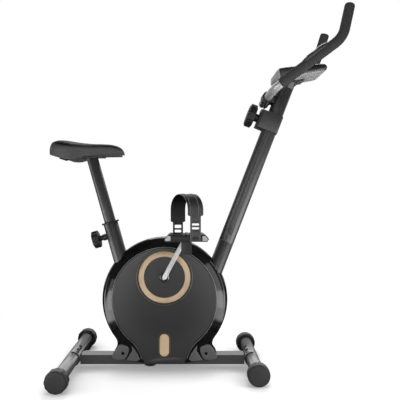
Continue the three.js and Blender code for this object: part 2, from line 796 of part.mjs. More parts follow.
// Points along a list of curves, with more on the bends.
function samples(curves, counts) {
  const points = [curves[0].getPoint(0)];
  curves.forEach((curve, n) => {
    for (let i = 1; i <= counts[n]; i += 1) {
      points.push(curve.getPoint(i / counts[n]));
    }
  });
  return points;
}

// Rings of a given radius about a line of points, each turned as little as possible.
function ringsAlong(points, radii, sides) {
  let right = new THREE.Vector3(0, 0, 1);
  return points.map((point, i) => {
    const before = points[Math.max(i - 1, 0)];
    const after = points[Math.min(i + 1, points.length - 1)];
    const ahead = after.clone().sub(before).normalize();
    right = right.clone().addScaledVector(ahead, -right.dot(ahead)).normalize();
    const up = ahead.clone().cross(right);
    const ring = [];
    for (let k = 0; k < sides; k += 1) {
      const angle = 2 * Math.PI * k / sides;
      ring.push(point.clone()
        .addScaledVector(right, radii[i] * Math.cos(angle))
        .addScaledVector(up, radii[i] * Math.sin(angle)));
    }
    return ring;
  });
}

function handlebar() {
  const arm = armCurves();
  const half = samples([arm.flat, arm.bend, arm.rise, arm.elbow, arm.horn], [1, bendSteps, 1, bendSteps, 1]);
  const other = half.slice(1).reverse().map((point) => new THREE.Vector3(point.x, -point.y, point.z));
  const line = [...other, ...half];
  const outer = loft(ringsAlong(line, line.map(() => barRadius), smallSides));
  const over = line.map((point) => point.clone());
  over[0] = towards(over[0], over[1], -1);
  over[over.length - 1] = towards(over.at(-1), over.at(-2), -1);
  const inner = loft(ringsAlong(over, over.map(() => barRadius - barWall), 8));
  return cut(outer, inner);
}

function grip() {
  const arm = armCurves();
  const curves = [arm.bend, arm.rise, arm.elbow, arm.horn];
  const line = samples(curves, [bendSteps, 1, bendSteps, 1]);
  const end = line.at(-1);
  const before = line.at(-2);
  const cap = [0.3, 0.7, 1].map((share) => towards(end, before, -gripEnd * share));
  const capRadii = [0.97, 0.78, 0.3].map((share) => gripRadius * share);
  const radii = [...line.map(() => gripRadius), ...capRadii];
  const outer = loft(ringsAlong([...line, ...cap], radii, gripSides).slice(gripStart));
  const hollow = [...line.slice(0, -1), towards(end, before, -clearance)];
  const bore = holeRadius(barRadius, gripSides);
  const inner = loft(ringsAlong(hollow, hollow.map(() => bore), gripSides).slice(gripStart - 1));
  return cut(outer, inner);
}

// A half-round shell that lies on the upper side of the grip's straight rise.
function pulseSensor() {
  const { rise } = armCurves();
  const [from, to] = [rise.getPoint(0.34), rise.getPoint(0.9)];
  const ahead = to.clone().sub(from).normalize();
  const out = new THREE.Vector3(-ahead.z, 0, ahead.x).normalize();
  const across = ahead.clone().cross(out);
  const inner = holeRadius(gripRadius, smallSides);
  const spread = 62 * Math.PI / 180;
  const steps = 10;
  const shares = [0, 0.06, 0.2, 0.5, 0.8, 0.94, 1];
  const rises = [1.2, 3.2, 4.8, 5.4, 4.8, 3.2, 1.2];
  const rings = shares.map((share, n) => {
    const centre = from.clone().lerp(to, share);
    const at = (r, angle) => centre.clone()
      .addScaledVector(out, r * Math.cos(angle))
      .addScaledVector(across, r * Math.sin(angle));
    const ring = [];
    for (let i = 0; i <= steps; i += 1) {
      ring.push(at(inner + rises[n], -spread + 2 * spread * i / steps));
    }
    for (let i = steps; i >= 0; i -= 1) {
      ring.push(at(inner, -spread + 2 * spread * i / steps));
    }
    return ring;
  });
  return loft(rings);
}

const barAlong = onAxis(mast, 0).sub(new THREE.Vector3(barX, 0, barZ)).negate().dot(mast.along);
const barAcross = onAxis(mast, 0).sub(new THREE.Vector3(barX, 0, barZ)).negate().dot(mast.across);
const clampBoltDrop = barRadius + clampWall + 6;

function handlebarClamp() {
  const ring = rodY(barX, barZ, -clampHalfWidth, clampHalfWidth, barRadius + clampWall, plainSides);
  const block = blockOnAxis(mast, barAlong - 12, barAlong + 12, mastRadius - 6, barAcross,
    clampHalfWidth - 2, 2);
  const ears = blockOnAxis(mast, barAlong - clampBoltDrop - 8, barAlong, barAcross - 8,
    barAcross + 8, clampHalfWidth - 3, 3);
  const bore = rodY(barX, barZ, -clampHalfWidth - 1, clampHalfWidth + 1,
    holeRadius(barRadius, smallSides), smallSides);
  const post = rod(onAxis(mast, barAlong - 60), onAxis(mast, barAlong + 60),
    holeRadius(mastRadius, plainSides), plainSides);
  const slot = blockOnAxis(mast, barAlong - clampBoltDrop - 20, barAlong - barRadius + 4,
    barAcross - 1.5, barAcross + 1.5, clampHalfWidth + 2, 1);
  const bolt = rod(onAxis(mast, barAlong - clampBoltDrop, barAcross - 20),
    onAxis(mast, barAlong - clampBoltDrop, barAcross + 20), holeRadius(boltRadius, smallSides), smallSides);
  return cut(join(ring, block, ears), bore, post, slot, bolt);
}

function clampBolt() {
  const at = (across) => onAxis(mast, barAlong - clampBoltDrop, across);
  return join(
    rod(at(barAcross - 10.5), at(barAcross + 9), boltRadius, smallSides),
    rod(at(barAcross + 8 + clearance), at(barAcross + 14), 8, 6),
    rod(at(barAcross - 12), at(barAcross - 8 - clearance), 7, 6),
  );
}

// ---------------------------------------------------------------- console
const screen = axisFrame(consoleX, consoleZ, -consolePitch);

// A point of the console: s forward along its length, t up through its thickness.
function onConsole(s, t, y = 0) {
  return onAxis(screen, t, -s, y);
}

// The console's side outline, drawn in from its full size by an inset.
function consoleRing(y, inset) {
  const half = consoleLength / 2 - inset;
  const rear = consoleRear / 2 - inset;
  const front = consoleFront / 2 - inset;
  const outline = [
    [-half, -0.35], [-half + 3, 0.6], [-half + 10, 0.92], [-half + 26, 1], [0, 1.02],
    [half - 18, 1], [half - 6, 0.84], [half - 1, 0.4], [half, -0.1], [half - 3, -0.62],
    [half - 10, -0.94], [half - 24, -1], [-half + 22, -1], [-half + 7, -0.88],
  ];
  return outline.map(([s, share]) => {
    const thick = rear + (front - rear) * (s + half) / (2 * half);
    return onConsole(s, share * thick, y);
  });
}

function consoleBody() {
  const w = consoleWidth / 2;
  const steps = [[-w, 8], [-w + 2, 3.5], [-w + 7, 0.8], [-w + 14, 0]];
  const rings = [...steps, ...steps.slice().reverse().map(([y, inset]) => [-y, inset])];
  return loft(rings.map(([y, inset]) => consoleRing(y, inset)));
}

// The space that the base fills: below the seam, and an upright at the rider's end.
function baseRegion(grow) {
  const half = consoleLength / 2;
  const w = consoleWidth;
  const seam = (s, thick) => onConsole(s, consoleSplit * thick / 2 + grow);
  const low = [seam(-half - 5, consoleRear), seam(half + 5, consoleFront),
    onConsole(half + 5, -consoleRear), onConsole(-half - 5, -consoleRear)];
  const heel = [onConsole(-half - 5, consoleRear), onConsole(consoleHeel + grow - half, consoleRear),
    onConsole(consoleHeel + grow - half, -consoleRear), onConsole(-half - 5, -consoleRear)];
  return join(...[low, heel].map((outline) => loft([
    outline.map(({ x, z }) => new THREE.Vector3(x, -w, z)),
    outline.map(({ x, z }) => new THREE.Vector3(x, w, z)),
  ])));
}

const lensLength = 84;
const lensWidth = 96;
const lensDepth = 1.6;

// A box fixed in the console's frame.
function consoleBox(s0, s1, halfWidth, t0, t1) {
  return blockOnAxis(screen, t0, t1, -s1, -s0, halfWidth, 3);
}

function consoleTopAt(s) {
  const lerp = (s + consoleLength / 2) / consoleLength;
  return 1.02 * (consoleRear + (consoleFront - consoleRear) * lerp) / 2;
}

const lensCentre = 14;
const consoleUnder = -consoleRear / 2 - 1;
const bracketRear = -60;
const bracketFront = 12;
const bracketHalf = 30;
const buttonCentre = -52;
const buttonLength = 16;
const buttonWidth = 44;

function consoleCase() {
  const body = cut(consoleBody(), baseRegion(clearance));
  const lensFloor = consoleTopAt(lensCentre) - 3.4;
  const lens = consoleBox(lensCentre - lensLength / 2 - clearance,
    lensCentre + lensLength / 2 + clearance, lensWidth / 2 + clearance, lensFloor, 60);
  const well = consoleBox(buttonCentre - buttonLength / 2 - clearance,
    buttonCentre + buttonLength / 2 + clearance, buttonWidth / 2 + clearance,
    consoleTopAt(buttonCentre) - 8, 60);
  return cut(body, lens, well);
}

function consoleBase() {
  const pad = consoleBox(bracketRear, bracketFront, bracketHalf, consoleUnder, consoleUnder + 4);
  return join(consoleBody().intersect(baseRegion(0)), pad);
}

function consoleLens() {
  const floor = consoleTopAt(lensCentre) - 3.4 + clearance;
  return consoleBox(lensCentre - lensLength / 2, lensCentre + lensLength / 2, lensWidth / 2,
    floor, floor + lensDepth);
}

function consoleButton() {
  const top = consoleTopAt(buttonCentre) + 1.2;
  return consoleBox(buttonCentre - buttonLength / 2, buttonCentre + buttonLength / 2,
    buttonWidth / 2, top - 6, top);
}

function consoleBracket() {
  const plateTop = consoleUnder - clearance;
  const plate = consoleBox(bracketRear, bracketFront, bracketHalf, plateTop - 4, plateTop);
  const plug = rod(onAxis(mast, mastAlong(mastTopZ) - 24), onAxis(mast, mastAlong(mastTopZ) + 60),
    plugRadius(mastRadius - tubeWall, plainSides), plainSides);
  const flange = rod(onAxis(mast, mastAlong(mastTopZ) + clearance),
    onAxis(mast, mastAlong(mastTopZ) + 60), mastRadius, plainSides);
  const above = consoleBox(-200, 200, 100, plateTop, 100);
  return cut(join(plate, plug, flange), above);
}

// ---------------------------------------------------------------- shell
const arcSteps = 24;
const legSteps = 4;

// The right-hand half of an outline, from the top of the leg down to the bottom edge, then the
// arc, so that the mirrored half closes it. Offsets inward are positive.
function outlineRing(y, arc, leg, bottomHalf, bottomZ) {
  const points = [];
  for (let i = 0; i <= arcSteps; i += 1) {
    const angle = arc.start + (Math.PI - 2 * arc.start) * i / arcSteps;
    points.push([arc.radius * Math.cos(angle), arc.z + arc.radius * Math.sin(angle)]);
  }
  const left = [];
  for (let i = 1; i <= legSteps; i += 1) {
    const point = leg.getPoint(i / legSteps);
    left.push([-point.x, point.y]);
  }
  left.push([-bottomHalf, bottomZ]);
  const right = left.map(([x, z]) => [-x, z]).reverse();
  return [...points, ...left, ...right].map(([x, z]) => new THREE.Vector3(shellX + x, y, z));
}

function outerRing(y, inset) {
  const radius = shellRadius - inset;
  const start = -36 * Math.PI / 180;
  const top = new THREE.Vector2(radius * Math.cos(start), shellZ + radius * Math.sin(start));
  const tip = new THREE.Vector2(shellTipHalf - inset, shellTipZ);
  const leg = new THREE.CubicBezierCurve(
    top,
    new THREE.Vector2(top.x + 30 * Math.sin(start), top.y - 30 * Math.cos(start)),
    new THREE.Vector2(tip.x - 14, tip.y + 26),
    tip,
  );
  return outlineRing(y, { radius, z: shellZ, start }, leg, tip.x - 9, shellBottom + inset);
}

function panelRing(y, inset) {
  const radius = panelRadius - inset;
  const start = -50 * Math.PI / 180;
  const top = new THREE.Vector2(radius * Math.cos(start), panelZ + radius * Math.sin(start));
  const foot = new THREE.Vector2(panelBottomHalf + 4 - inset, shellBottom + 12);
  const leg = new THREE.QuadraticBezierCurve(
    top,
    new THREE.Vector2(top.x + 34 * Math.sin(start), top.y - 34 * Math.cos(start)),
    foot,
  );
  const bottomZ = shellBottom + Math.max(inset, 0);
  return outlineRing(y, { radius, z: panelZ, start }, leg, panelBottomHalf - inset, bottomZ);
}

function slotShape(width, height, z, grow) {
  const r = width / 2 + grow;
  const straight = (height - width) / 2;
  const shape = new THREE.Shape();
  shape.moveTo(shellX - r, z - straight);
  shape.absarc(shellX, z - straight, r, Math.PI, 2 * Math.PI, false);
  shape.lineTo(shellX + r, z + straight);
  shape.absarc(shellX, z + straight, r, 0, Math.PI, false);
  return shape;
}

// A raised tab at each foot of the shell that takes the screw.
function footTab(sideSign) {
  const x = (half) => shellX + sideSign * half;
  const shape = new THREE.Shape();
  shape.moveTo(x(shellTipHalf - 12), shellBottom + 3);
  shape.lineTo(x(shellTipHalf - 4), shellBottom + 12);
  shape.lineTo(x(shellTipHalf - 5), shellTipZ + 2);
  shape.lineTo(x(shellTipHalf - 20), shellTipZ + 25);
  shape.lineTo(x(shellTipHalf - 34), shellTipZ + 27);
  shape.quadraticCurveTo(x(shellTipHalf - 47), shellTipZ + 20, x(shellTipHalf - 48), shellTipZ);
  shape.quadraticCurveTo(x(shellTipHalf - 46), shellBottom + 3, x(shellTipHalf - 54), shellBottom + 3);
  return slab(shape, -37, -22, 3);
}

// A sloped facet between the tab and the panel's leg, with a groove left beside the tab.
function footFacet(sideSign) {
  const corners = [
    [60, 79, -37], [86, 50, -46], [88, 42, -46], [76, 34, -42], [56, 33, -38], [54, 56, -37],
  ].map(([inward, z, y]) => [shellX + sideSign * (shellTipHalf - inward), z, y]);
  return loft([
    corners.map(([x, z]) => new THREE.Vector3(x, -24, z)),
    corners.map(([x, z, y]) => new THREE.Vector3(x, y, z)),
  ]);
}

// The rider's right half: a skinned hollow, open at the seam, cut for the frame and the crank.
function shellHalfSolid() {
  const skin = loft([
    outerRing(-clearance / 2, 0), outerRing(-8, 0), outerRing(-24, 9),
    panelRing(-shellHalf + 1.5, -2.5), panelRing(-shellHalf, 0),
  ]);
  const hollow = loft([
    outerRing(1, shellWall), outerRing(-22, 13),
    panelRing(-shellHalf + shellWall, 2),
  ]);
  const railHalf = railWidth / 2 + clearance;
  const rail = box(shellX - 300, shellX + 300, -railHalf, railHalf, 0, railTop + clearance);
  const seatGap = rod(onAxis(seat, seatFoot), onAxis(seat, 12), holeRadius(seatTubeRadius, plainSides));
  const mastGap = rod(onAxis(mast, mastAlong(0)), onAxis(mast, 0), holeRadius(mastRadius, plainSides));
  const crankHole = rodY(crankX, crankZ, -shellHalf - 1, -shellHalf + 8,
    holeRadius(coverSpigotRadius, fineSides), fineSides);
  const inlay = slab(slotShape(inlayWidth, inlayHeight, inlayZ, clearance),
    -shellHalf - 1, -shellHalf + inlayDepth, 10);
  const screws = [-1, 1].map((sign) => {
    const x = shellX + sign * (shellTipHalf - 33);
    return rodY(x, shellTipZ + 5, -60, -33, 4.5, smallSides);
  });
  const rimHole = rodY(rimHoleX, rimHoleZ, -60, -15, 3.5, smallSides);
  const feet = [-1, 1].flatMap((sign) => [footTab(sign), footFacet(sign)]);
  return cut(join(cut(skin, hollow), ...feet),
    rail, seatGap, mastGap, crankHole, inlay, rimHole, ...screws);
}

function crankCover() {
  const face = coverThickness;
  const groove = face - ringDepth;
  return turned([
    [coverHoleRadius, 0], [coverSpigotRadius - 3, 0], [coverSpigotRadius - 3, -4],
    [coverSpigotRadius, -4], [coverSpigotRadius, 0], [coverRadius, 0],
    [coverRadius, face - 1.4], [coverRadius - 2, face], [ringOuter + clearance, face],
    [ringOuter + clearance, groove], [ringInner - clearance, groove], [ringInner - clearance, face],
    [coverHoleRadius, face], [coverHoleRadius, 0],
  ], new THREE.Vector3(crankX, -shellHalf - clearance, crankZ), new THREE.Vector3(0, -1, 0), fineSides);
}

function coverRing() {
  const floor = coverThickness - ringDepth + clearance;
  const top = coverThickness + ringProud;
  return turned([
    [ringInner, floor], [ringOuter, floor], [ringOuter, top], [ringInner, top], [ringInner, floor],
  ], new THREE.Vector3(crankX, -shellHalf - clearance, crankZ), new THREE.Vector3(0, -1, 0), fineSides);
}

function shellInlay() {
  return slab(slotShape(inlayWidth, inlayHeight, inlayZ, 0), -shellHalf - inlayProud,
    -shellHalf + inlayDepth - clearance, 10);
}

// ---------------------------------------------------------------- crank, pulleys and brake

// Carries the crank bearing and the flywheel shaft between the seat tube and the mast.
function innerFrame() {
  const half = strutWidth / 2;
  const strut = box(crankX - half, crankX + half, -9, 9, railTop + clearance, crankZ);
  const shell = rodY(crankX, crankZ, -pulleyInner + 2, pulleyInner - 2, 20, plainSides);
  const boss = rodY(crankX, flywheelZ, -pulleyInner + 2, flywheelInner - 2, 18, plainSides);
  const tie = box(crankX - 160, crankX + 170, -4, 4, crankZ - 16, crankZ + 16);
  const keepRear = rod(onAxis(seat, seatFoot), onAxis(seat, 0), holeRadius(seatTubeRadius, plainSides));
  const keepFront = rod(onAxis(mast, -500), onAxis(mast, 0), holeRadius(mastRadius, plainSides));
  const rearOff = box(crankX - 300, crankX - 125, -10, 10, crankZ - 30, crankZ + 30);
  const frontOff = box(crankX + 150, crankX + 300, -10, 10, crankZ - 30, crankZ + 30);
  return cut(join(strut, shell, boss, tie), keepRear, keepFront, rearOff, frontOff,
    rodY(crankX, crankZ, -60, 60, holeRadius(axleRadius, plainSides), plainSides),
    rodY(crankX, flywheelZ, -60, 60, holeRadius(flywheelShaftRadius, smallSides), smallSides));
}

// The axle narrows where the cranks sit and has a dust collar outside each cover's hole edge.
function crankAxle() {
  const half = [
    [axleRadius, 0], [axleRadius, shellHalf - 2], [collarRadius, shellHalf - 2],
    [collarRadius, hubInner - clearance], [axleEndRadius, hubInner - clearance],
    [axleEndRadius, hubOuter - 3], [0, hubOuter - 3],
  ];
  const other = half.slice(1).reverse().map(([radius, distance]) => [radius, -distance]);
  return turned([...other, ...half], new THREE.Vector3(crankX, 0, crankZ), side);
}

// The large pulley: a grooved rim, a web with windows and a hub on the axle.
function drivePulley() {
  const far = pulleyWidth;
  const bore = holeRadius(axleRadius, plainSides);
  const rim = pulleyRadius + pulleyFlange;
  const wheel = turned([
    [bore, 0], [24, 0], [24, 4], [pulleyRadius - 9, 4], [pulleyRadius - 9, 0], [rim, 0],
    [pulleyRadius, 2], [pulleyRadius, far - 2], [rim, far], [pulleyRadius - 9, far],
    [pulleyRadius - 9, far - 4], [bore, far - 4], [bore, 0],
  ], new THREE.Vector3(crankX, -pulleyInner, crankZ), new THREE.Vector3(0, -1, 0), 24);
  const windows = [];
  for (let i = 0; i < pulleyWindows; i += 1) {
    const angle = Math.PI * 2 * i / pulleyWindows;
    windows.push(rodY(crankX + 50 * Math.cos(angle), crankZ + 50 * Math.sin(angle),
      -pulleyInner - far - 1, -pulleyInner + 1, 16, 8));
  }
  return cut(wheel, ...windows);
}

// Flywheel, shaft and small pulley turn as one.
function flywheel() {
  const inner = -flywheelInner;
  const pulleyNear = pulleyInner;
  const pulleyFar = pulleyInner + pulleyWidth;
  const shaft = flywheelShaftRadius;
  const rim = smallPulleyRadius + pulleyFlange;
  const outer = -flywheelInner - flywheelWidth;
  return turned([
    [0, outer + 1], [20, outer + 1], [24, outer + 5], [flywheelRadius - 26, outer + 5],
    [flywheelRadius - 22, outer], [flywheelRadius, outer], [flywheelRadius, inner],
    [shaft, inner], [shaft, pulleyNear], [rim, pulleyNear], [smallPulleyRadius, pulleyNear + 2],
    [smallPulleyRadius, pulleyFar - 2], [rim, pulleyFar], [0, pulleyFar],
  ], new THREE.Vector3(crankX, 0, flywheelZ), new THREE.Vector3(0, -1, 0), 24);
}

// Outline of a belt round both pulleys, grown by an amount.
function beltOutline(grow) {
  const big = holeRadius(pulleyRadius, fineSides) + grow;
  const small = holeRadius(smallPulleyRadius, fineSides) + grow;
  const lean = Math.asin((big - small) / (crankZ - flywheelZ));
  const path = new THREE.Path();
  path.absarc(crankX, crankZ, big, -lean, Math.PI + lean, false);
  path.absarc(crankX, flywheelZ, small, Math.PI + lean, 2 * Math.PI - lean, false);
  path.closePath();
  return path.getPoints(14);
}

function driveBelt() {
  const shape = new THREE.Shape(beltOutline(beltThickness));
  shape.holes.push(new THREE.Path(beltOutline(0)));
  return slab(shape, -pulleyInner - pulleyWidth + 2.4, -pulleyInner - 2.4);
}

// The brake: an arc that follows the flywheel's rim, with magnet pads, on a pivot near the rail.
function magnetArm() {
  const inner = flywheelRadius + 7;
  const outer = inner + 8;
  const low = magnetPivotAngle;
  const high = 68 * Math.PI / 180;
  const at = (r, angle) => [crankX + r * Math.cos(angle), flywheelZ + r * Math.sin(angle)];
  const steps = 16;
  const shape = new THREE.Shape();
  shape.moveTo(...at(inner, low));
  for (let i = 1; i <= steps; i += 1) {
    shape.lineTo(...at(inner, low + (high - low) * i / steps));
  }
  for (let i = steps; i >= 0; i -= 1) {
    shape.lineTo(...at(outer, low + (high - low) * i / steps));
  }
  const y0 = flywheelInner;
  const y1 = flywheelInner + flywheelWidth;
  const pads = [0.08, 0.18, 0.28].map((share) => {
    const pad = new THREE.Shape();
    const middle = share * Math.PI;
    pad.moveTo(...at(inner - 4, middle - 0.1));
    pad.lineTo(...at(inner - 4, middle + 0.1));
    pad.lineTo(...at(inner + 1.5, middle + 0.1));
    pad.lineTo(...at(inner + 1.5, middle - 0.1));
    return slab(pad, y0 + 2, y1 - 2);
  });
  const lug = rodY(magnetPivot.x, magnetPivot.z, y0, y1, 9.5);
  return cut(join(slab(shape, y0, y1), ...pads, lug),
    rodY(magnetPivot.x, magnetPivot.z, 0, 60, holeRadius(magnetPinRadius, smallSides), smallSides));
}

// ---------------------------------------------------------------- cranks, pedals and straps
// The right crank in the row's frame; the left one is the same piece turned half way round.
function crankArm() {
  const along = new THREE.Vector3(Math.sin(crankAngle), 0, Math.cos(crankAngle));
  const across = new THREE.Vector3(Math.cos(crankAngle), 0, -Math.sin(crankAngle));
  const centre = (distance, y) => new THREE.Vector3(crankX, y, crankZ).addScaledVector(along, distance);
  const rings = [];
  const steps = 5;
  for (let i = 0; i <= steps; i += 1) {
    const share = i / steps;
    const ease = share * share * (3 - 2 * share);
    const y = -(hubInner + hubOuter) / 2 - ((eyeInner + eyeOuter) / 2 - (hubInner + hubOuter) / 2) * ease;
    const wide = armHub + (armEye - armHub) * share;
    const thick = 6.5 - share;
    const middle = centre(6 + (crankLength - 10) * share, y);
    rings.push([
      [-wide, -thick + 2], [-wide + 2, -thick], [wide - 2, -thick], [wide, -thick + 2],
      [wide, thick - 2], [wide - 2, thick], [-wide + 2, thick], [-wide, thick - 2],
    ].map(([a, b]) => middle.clone().addScaledVector(across, a).addScaledVector(side, b)));
  }
  const end = centre(crankLength, 0);
  const pedalOuter = eyeOuter + pedalGap + pedalWidth;
  return cut(
    join(
      loft(rings),
      rodY(crankX, crankZ, -hubOuter, -hubInner, hubRadius, 16),
      rodY(end.x, end.z, -eyeOuter, -eyeInner, eyeRadius, 16),
      rodY(end.x, end.z, -pedalOuter + 12, -eyeInner - 2, spindleRadius, smallSides),
      rodY(end.x, end.z, -eyeOuter - 4, -eyeOuter + 1, 9, 6),
    ),
    rodY(crankX, crankZ, -hubOuter + 3 - clearance, 0, holeRadius(axleEndRadius, plainSides)),
  );
}

// One pedal about its own spindle: x forward, y from the rider's left, z up.
function pedalBody() {
  const half = pedalLength / 2;
  const top = pedalThickness / 2;
  const side0 = -pedalWidth / 2;
  const side1 = pedalWidth / 2;
  const profile = new THREE.Shape();
  profile.moveTo(-half + 5, -top);
  profile.lineTo(-half, -top + 5);
  profile.lineTo(-half + 11, top - 3);
  const teeth = 9;
  const pitch = (pedalLength - 26) / teeth;
  for (let i = 0; i < teeth; i += 1) {
    const x = -half + 13 + pitch * i;
    profile.lineTo(x, top - 3);
    profile.lineTo(x + pitch * 0.25, top);
    profile.lineTo(x + pitch * 0.6, top);
  }
  profile.lineTo(half - 11, top - 3);
  profile.lineTo(half, -top + 8);
  profile.lineTo(half - 5, -top + 1);
  const windows = [];
  for (const sign of [-1, 1]) {
    for (const y of [-1, 1]) {
      const xs = [sign * 17, sign * 41].sort((a, b) => a - b);
      const ys = [y * 3, y * (pedalWidth / 2 - 8)].sort((a, b) => a - b);
      windows.push(box(xs[0], xs[1], ys[0], ys[1], -top - 1, top + 1));
    }
  }
  const weight = new THREE.Shape();
  weight.moveTo(-15, 0);
  weight.lineTo(-15, -pedalWeightDepth + 5);
  weight.quadraticCurveTo(-15, -pedalWeightDepth, -10, -pedalWeightDepth);
  weight.lineTo(10, -pedalWeightDepth);
  weight.quadraticCurveTo(15, -pedalWeightDepth, 15, -pedalWeightDepth + 5);
  weight.lineTo(15, 0);
  const pegs = [
    box(strapSkew - pegHalf, strapSkew + pegHalf, side0 - 3, side0 + 1, -1.7, 1.7),
    box(-strapSkew - pegHalf, -strapSkew + pegHalf, side1 - 1, side1 + 3, -1.7, 1.7),
  ];
  return cut(
    join(cut(slab(profile, side0, side1), ...windows), slab(weight, -pedalWeightHalf, pedalWeightHalf, 3),
      ...pegs),
    rodY(0, 0, side0 + 6, side1 + 1, holeRadius(spindleRadius, smallSides), smallSides),
  );
}

// The strap over the shoe: an arch across the pedal, wide over the foot and narrow at its legs.
function strapBody() {
  const reach = pedalWidth / 2 + clearance + strapThickness / 2;
  const foot = -pedalThickness / 2 + 1;
  const arch = strapHeight - reach - strapThickness / 2;
  const half = strapThickness / 2;
  const archSteps = 12;
  const leg = (y, shoulder) => [
    [y, foot, strapNarrow], [y, shoulder - 2, strapNarrow], [y, shoulder, strapWide],
    [y, Math.max(arch - 3, shoulder + 1), strapWide],
  ];
  const over = [];
  for (let i = 0; i <= archSteps; i += 1) {
    const angle = Math.PI - Math.PI * i / archSteps;
    over.push([reach * Math.cos(angle), arch + reach * Math.sin(angle), strapWide]);
  }
  const line = [...leg(-reach, outerShoulder), ...over, ...leg(reach, innerShoulder).reverse()];
  const rings = line.map(([y, z, wide], i) => {
    const before = line[Math.max(i - 1, 0)];
    const after = line[Math.min(i + 1, line.length - 1)];
    const length = Math.hypot(after[0] - before[0], after[1] - before[1]);
    const normal = [(after[1] - before[1]) / length, -(after[0] - before[0]) / length];
    const middle = -strapSkew * y / reach;
    return [[-wide, -half], [wide, -half], [wide, half], [-wide, half]].map(([a, b]) => (
      new THREE.Vector3(middle + a / 2, y + normal[0] * b, z + normal[1] * b)));
  });
  const slot = (sign, z, halfWide, halfHigh) => box(-sign * strapSkew - halfWide,
    -sign * strapSkew + halfWide, sign * reach - 4, sign * reach + 4, z - halfHigh, z + halfHigh);
  const holes = [
    slot(-1, 0, pegHalf + clearance, 2), slot(-1, 29, 10, 3), slot(-1, 40, 10, 3),
    slot(1, 0, pegHalf + clearance, 2), slot(1, 15, 10, 4), slot(1, 29, 10, 5),
  ];
  return cut(loft(rings), ...holes);
}

function halfTurn(shape) {
  return shape.translate([-crankX, 0, -crankZ]).rotate([0, 180, 0]).translate([crankX, 0, crankZ]);
}

function addCranks() {
  const right = crankArm();
  addPart('crank_right', geometryOf(right), 'silver');
  addPart('crank_left', geometryOf(halfTurn(mirroredY(right))), 'silver');
  const reach = [crankLength * Math.sin(crankAngle), crankLength * Math.cos(crankAngle)];
  const y = eyeOuter + pedalGap + pedalWidth / 2;
  for (const [name, shape, look] of [['pedal', pedalBody(), 'plastic'], ['strap', strapBody(), 'rubber']]) {
    const right = shape.translate([crankX + reach[0], -y, crankZ + reach[1]]);
    const left = mirroredY(shape).translate([crankX - reach[0], y, crankZ - reach[1]]);
    addPart(`${name}_right`, geometryOf(right), look);
    addPart(`${name}_left`, geometryOf(left), look);
  }
}

// ---------------------------------------------------------------- assembly
addPart('main_rail', geometryOf(mainRail()), 'steel');
addPart('rear_bracket', geometryOf(saddleBracket(rearX, rearCapRadius, 1)), 'steel');
addPart('front_bracket', geometryOf(saddleBracket(frontX, frontWheelRadius, -1)), 'steel');
addPart('rear_stabiliser', geometryOf(stabiliserTube(rearX, rearCapRadius, rearSpan)), 'steel');
addPart('front_stabiliser', geometryOf(stabiliserTube(frontX, frontWheelRadius, frontSpan)), 'steel');
addPair('rear_cap', tubeEnd(rearX, rearCapRadius, rearSpan, rearCapRadius, rearCapLobes, 4, 1.4, true),
  'plastic');
addPair('front_wheel', tubeEnd(frontX, frontWheelRadius, frontSpan, frontWheelRadius, frontWheelRibs, 2,
  0.8, false), 'plastic');
addPair('rear_foot', tubeFoot(rearX, rearCapRadius, rearSpan, 1), 'rubber');
addPair('front_foot', tubeFoot(frontX, frontWheelRadius, frontSpan, -1), 'rubber');
addPart('centre_foot', geometryOf(centreFoot()), 'rubber');
addPart('seat_tube', geometryOf(seatTube()), 'steel');
addPart('seat_collar', geometryOf(seatCollar()), 'plastic');
addPart('seat_post', geometryOf(seatPost()), 'steel');
addPart('seat_pin', geometryOf(seatPin()), 'silver');
addPart('seat_knob', geometryOf(seatKnob()), 'plastic');
addPart('saddle_clamp', geometryOf(saddleClamp()), 'steel');
addPart('saddle_pan', geometryOf(saddlePan()), 'plastic');
addPart('saddle_pad', geometryOf(saddlePad()), 'cushion');
addPart('mast_stub', geometryOf(mastStub()), 'steel');
addPart('handlebar_post', geometryOf(mastPost()), 'steel');
addPart('post_bolt', geometryOf(mastBolt()), 'steel');
addPart('tension_housing', geometryOf(tensionHousing()), 'plastic');
addPart('tension_knob', geometryOf(tensionKnob()), 'plastic');
addPart('handlebar', geometryOf(handlebar()), 'steel');
addPair('grip', grip(), 'rubber');
addPair('pulse_sensor', pulseSensor(), 'plastic');
addPart('handlebar_clamp', geometryOf(handlebarClamp()), 'steel');
addPart('clamp_bolt', geometryOf(clampBolt()), 'steel');
addPart('console_bracket', geometryOf(consoleBracket()), 'steel');
addPart('console_base', geometryOf(consoleBase()), 'lightPlastic');
addPart('console_case', geometryOf(consoleCase()), 'plastic');
addPart('console_lens', geometryOf(consoleLens()), 'lens');
addPart('console_button', geometryOf(consoleButton()), 'plastic');
addPair('shell', shellHalfSolid(), 'shell');
addPair('crank_cover', crankCover(), 'shell');
addPair('cover_ring', coverRing(), 'gold');
addPair('shell_inlay', shellInlay(), 'gold');
addPart('inner_frame', geometryOf(innerFrame()), 'steel');
addPart('crank_axle', geometryOf(crankAxle()), 'silver');
addPart('drive_pulley', geometryOf(drivePulley()), 'plastic');
addPart('flywheel', geometryOf(flywheel()), 'iron');
addPart('drive_belt', geometryOf(driveBelt()), 'rubber');
addPart('magnet_arm', geometryOf(magnetArm()), 'steel');
addCranks();

// The origin goes to the floor, under the middle of the bike.
const bounds = new THREE.Box3().setFromObject(bike);
bike.position.set(-(bounds.min.x + bounds.max.x) / 2, -(bounds.min.y + bounds.max.y) / 2, -bounds.min.z);

export default bike;
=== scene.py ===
import json
import math

import bmesh
import bpy
from mathutils import Matrix, Vector


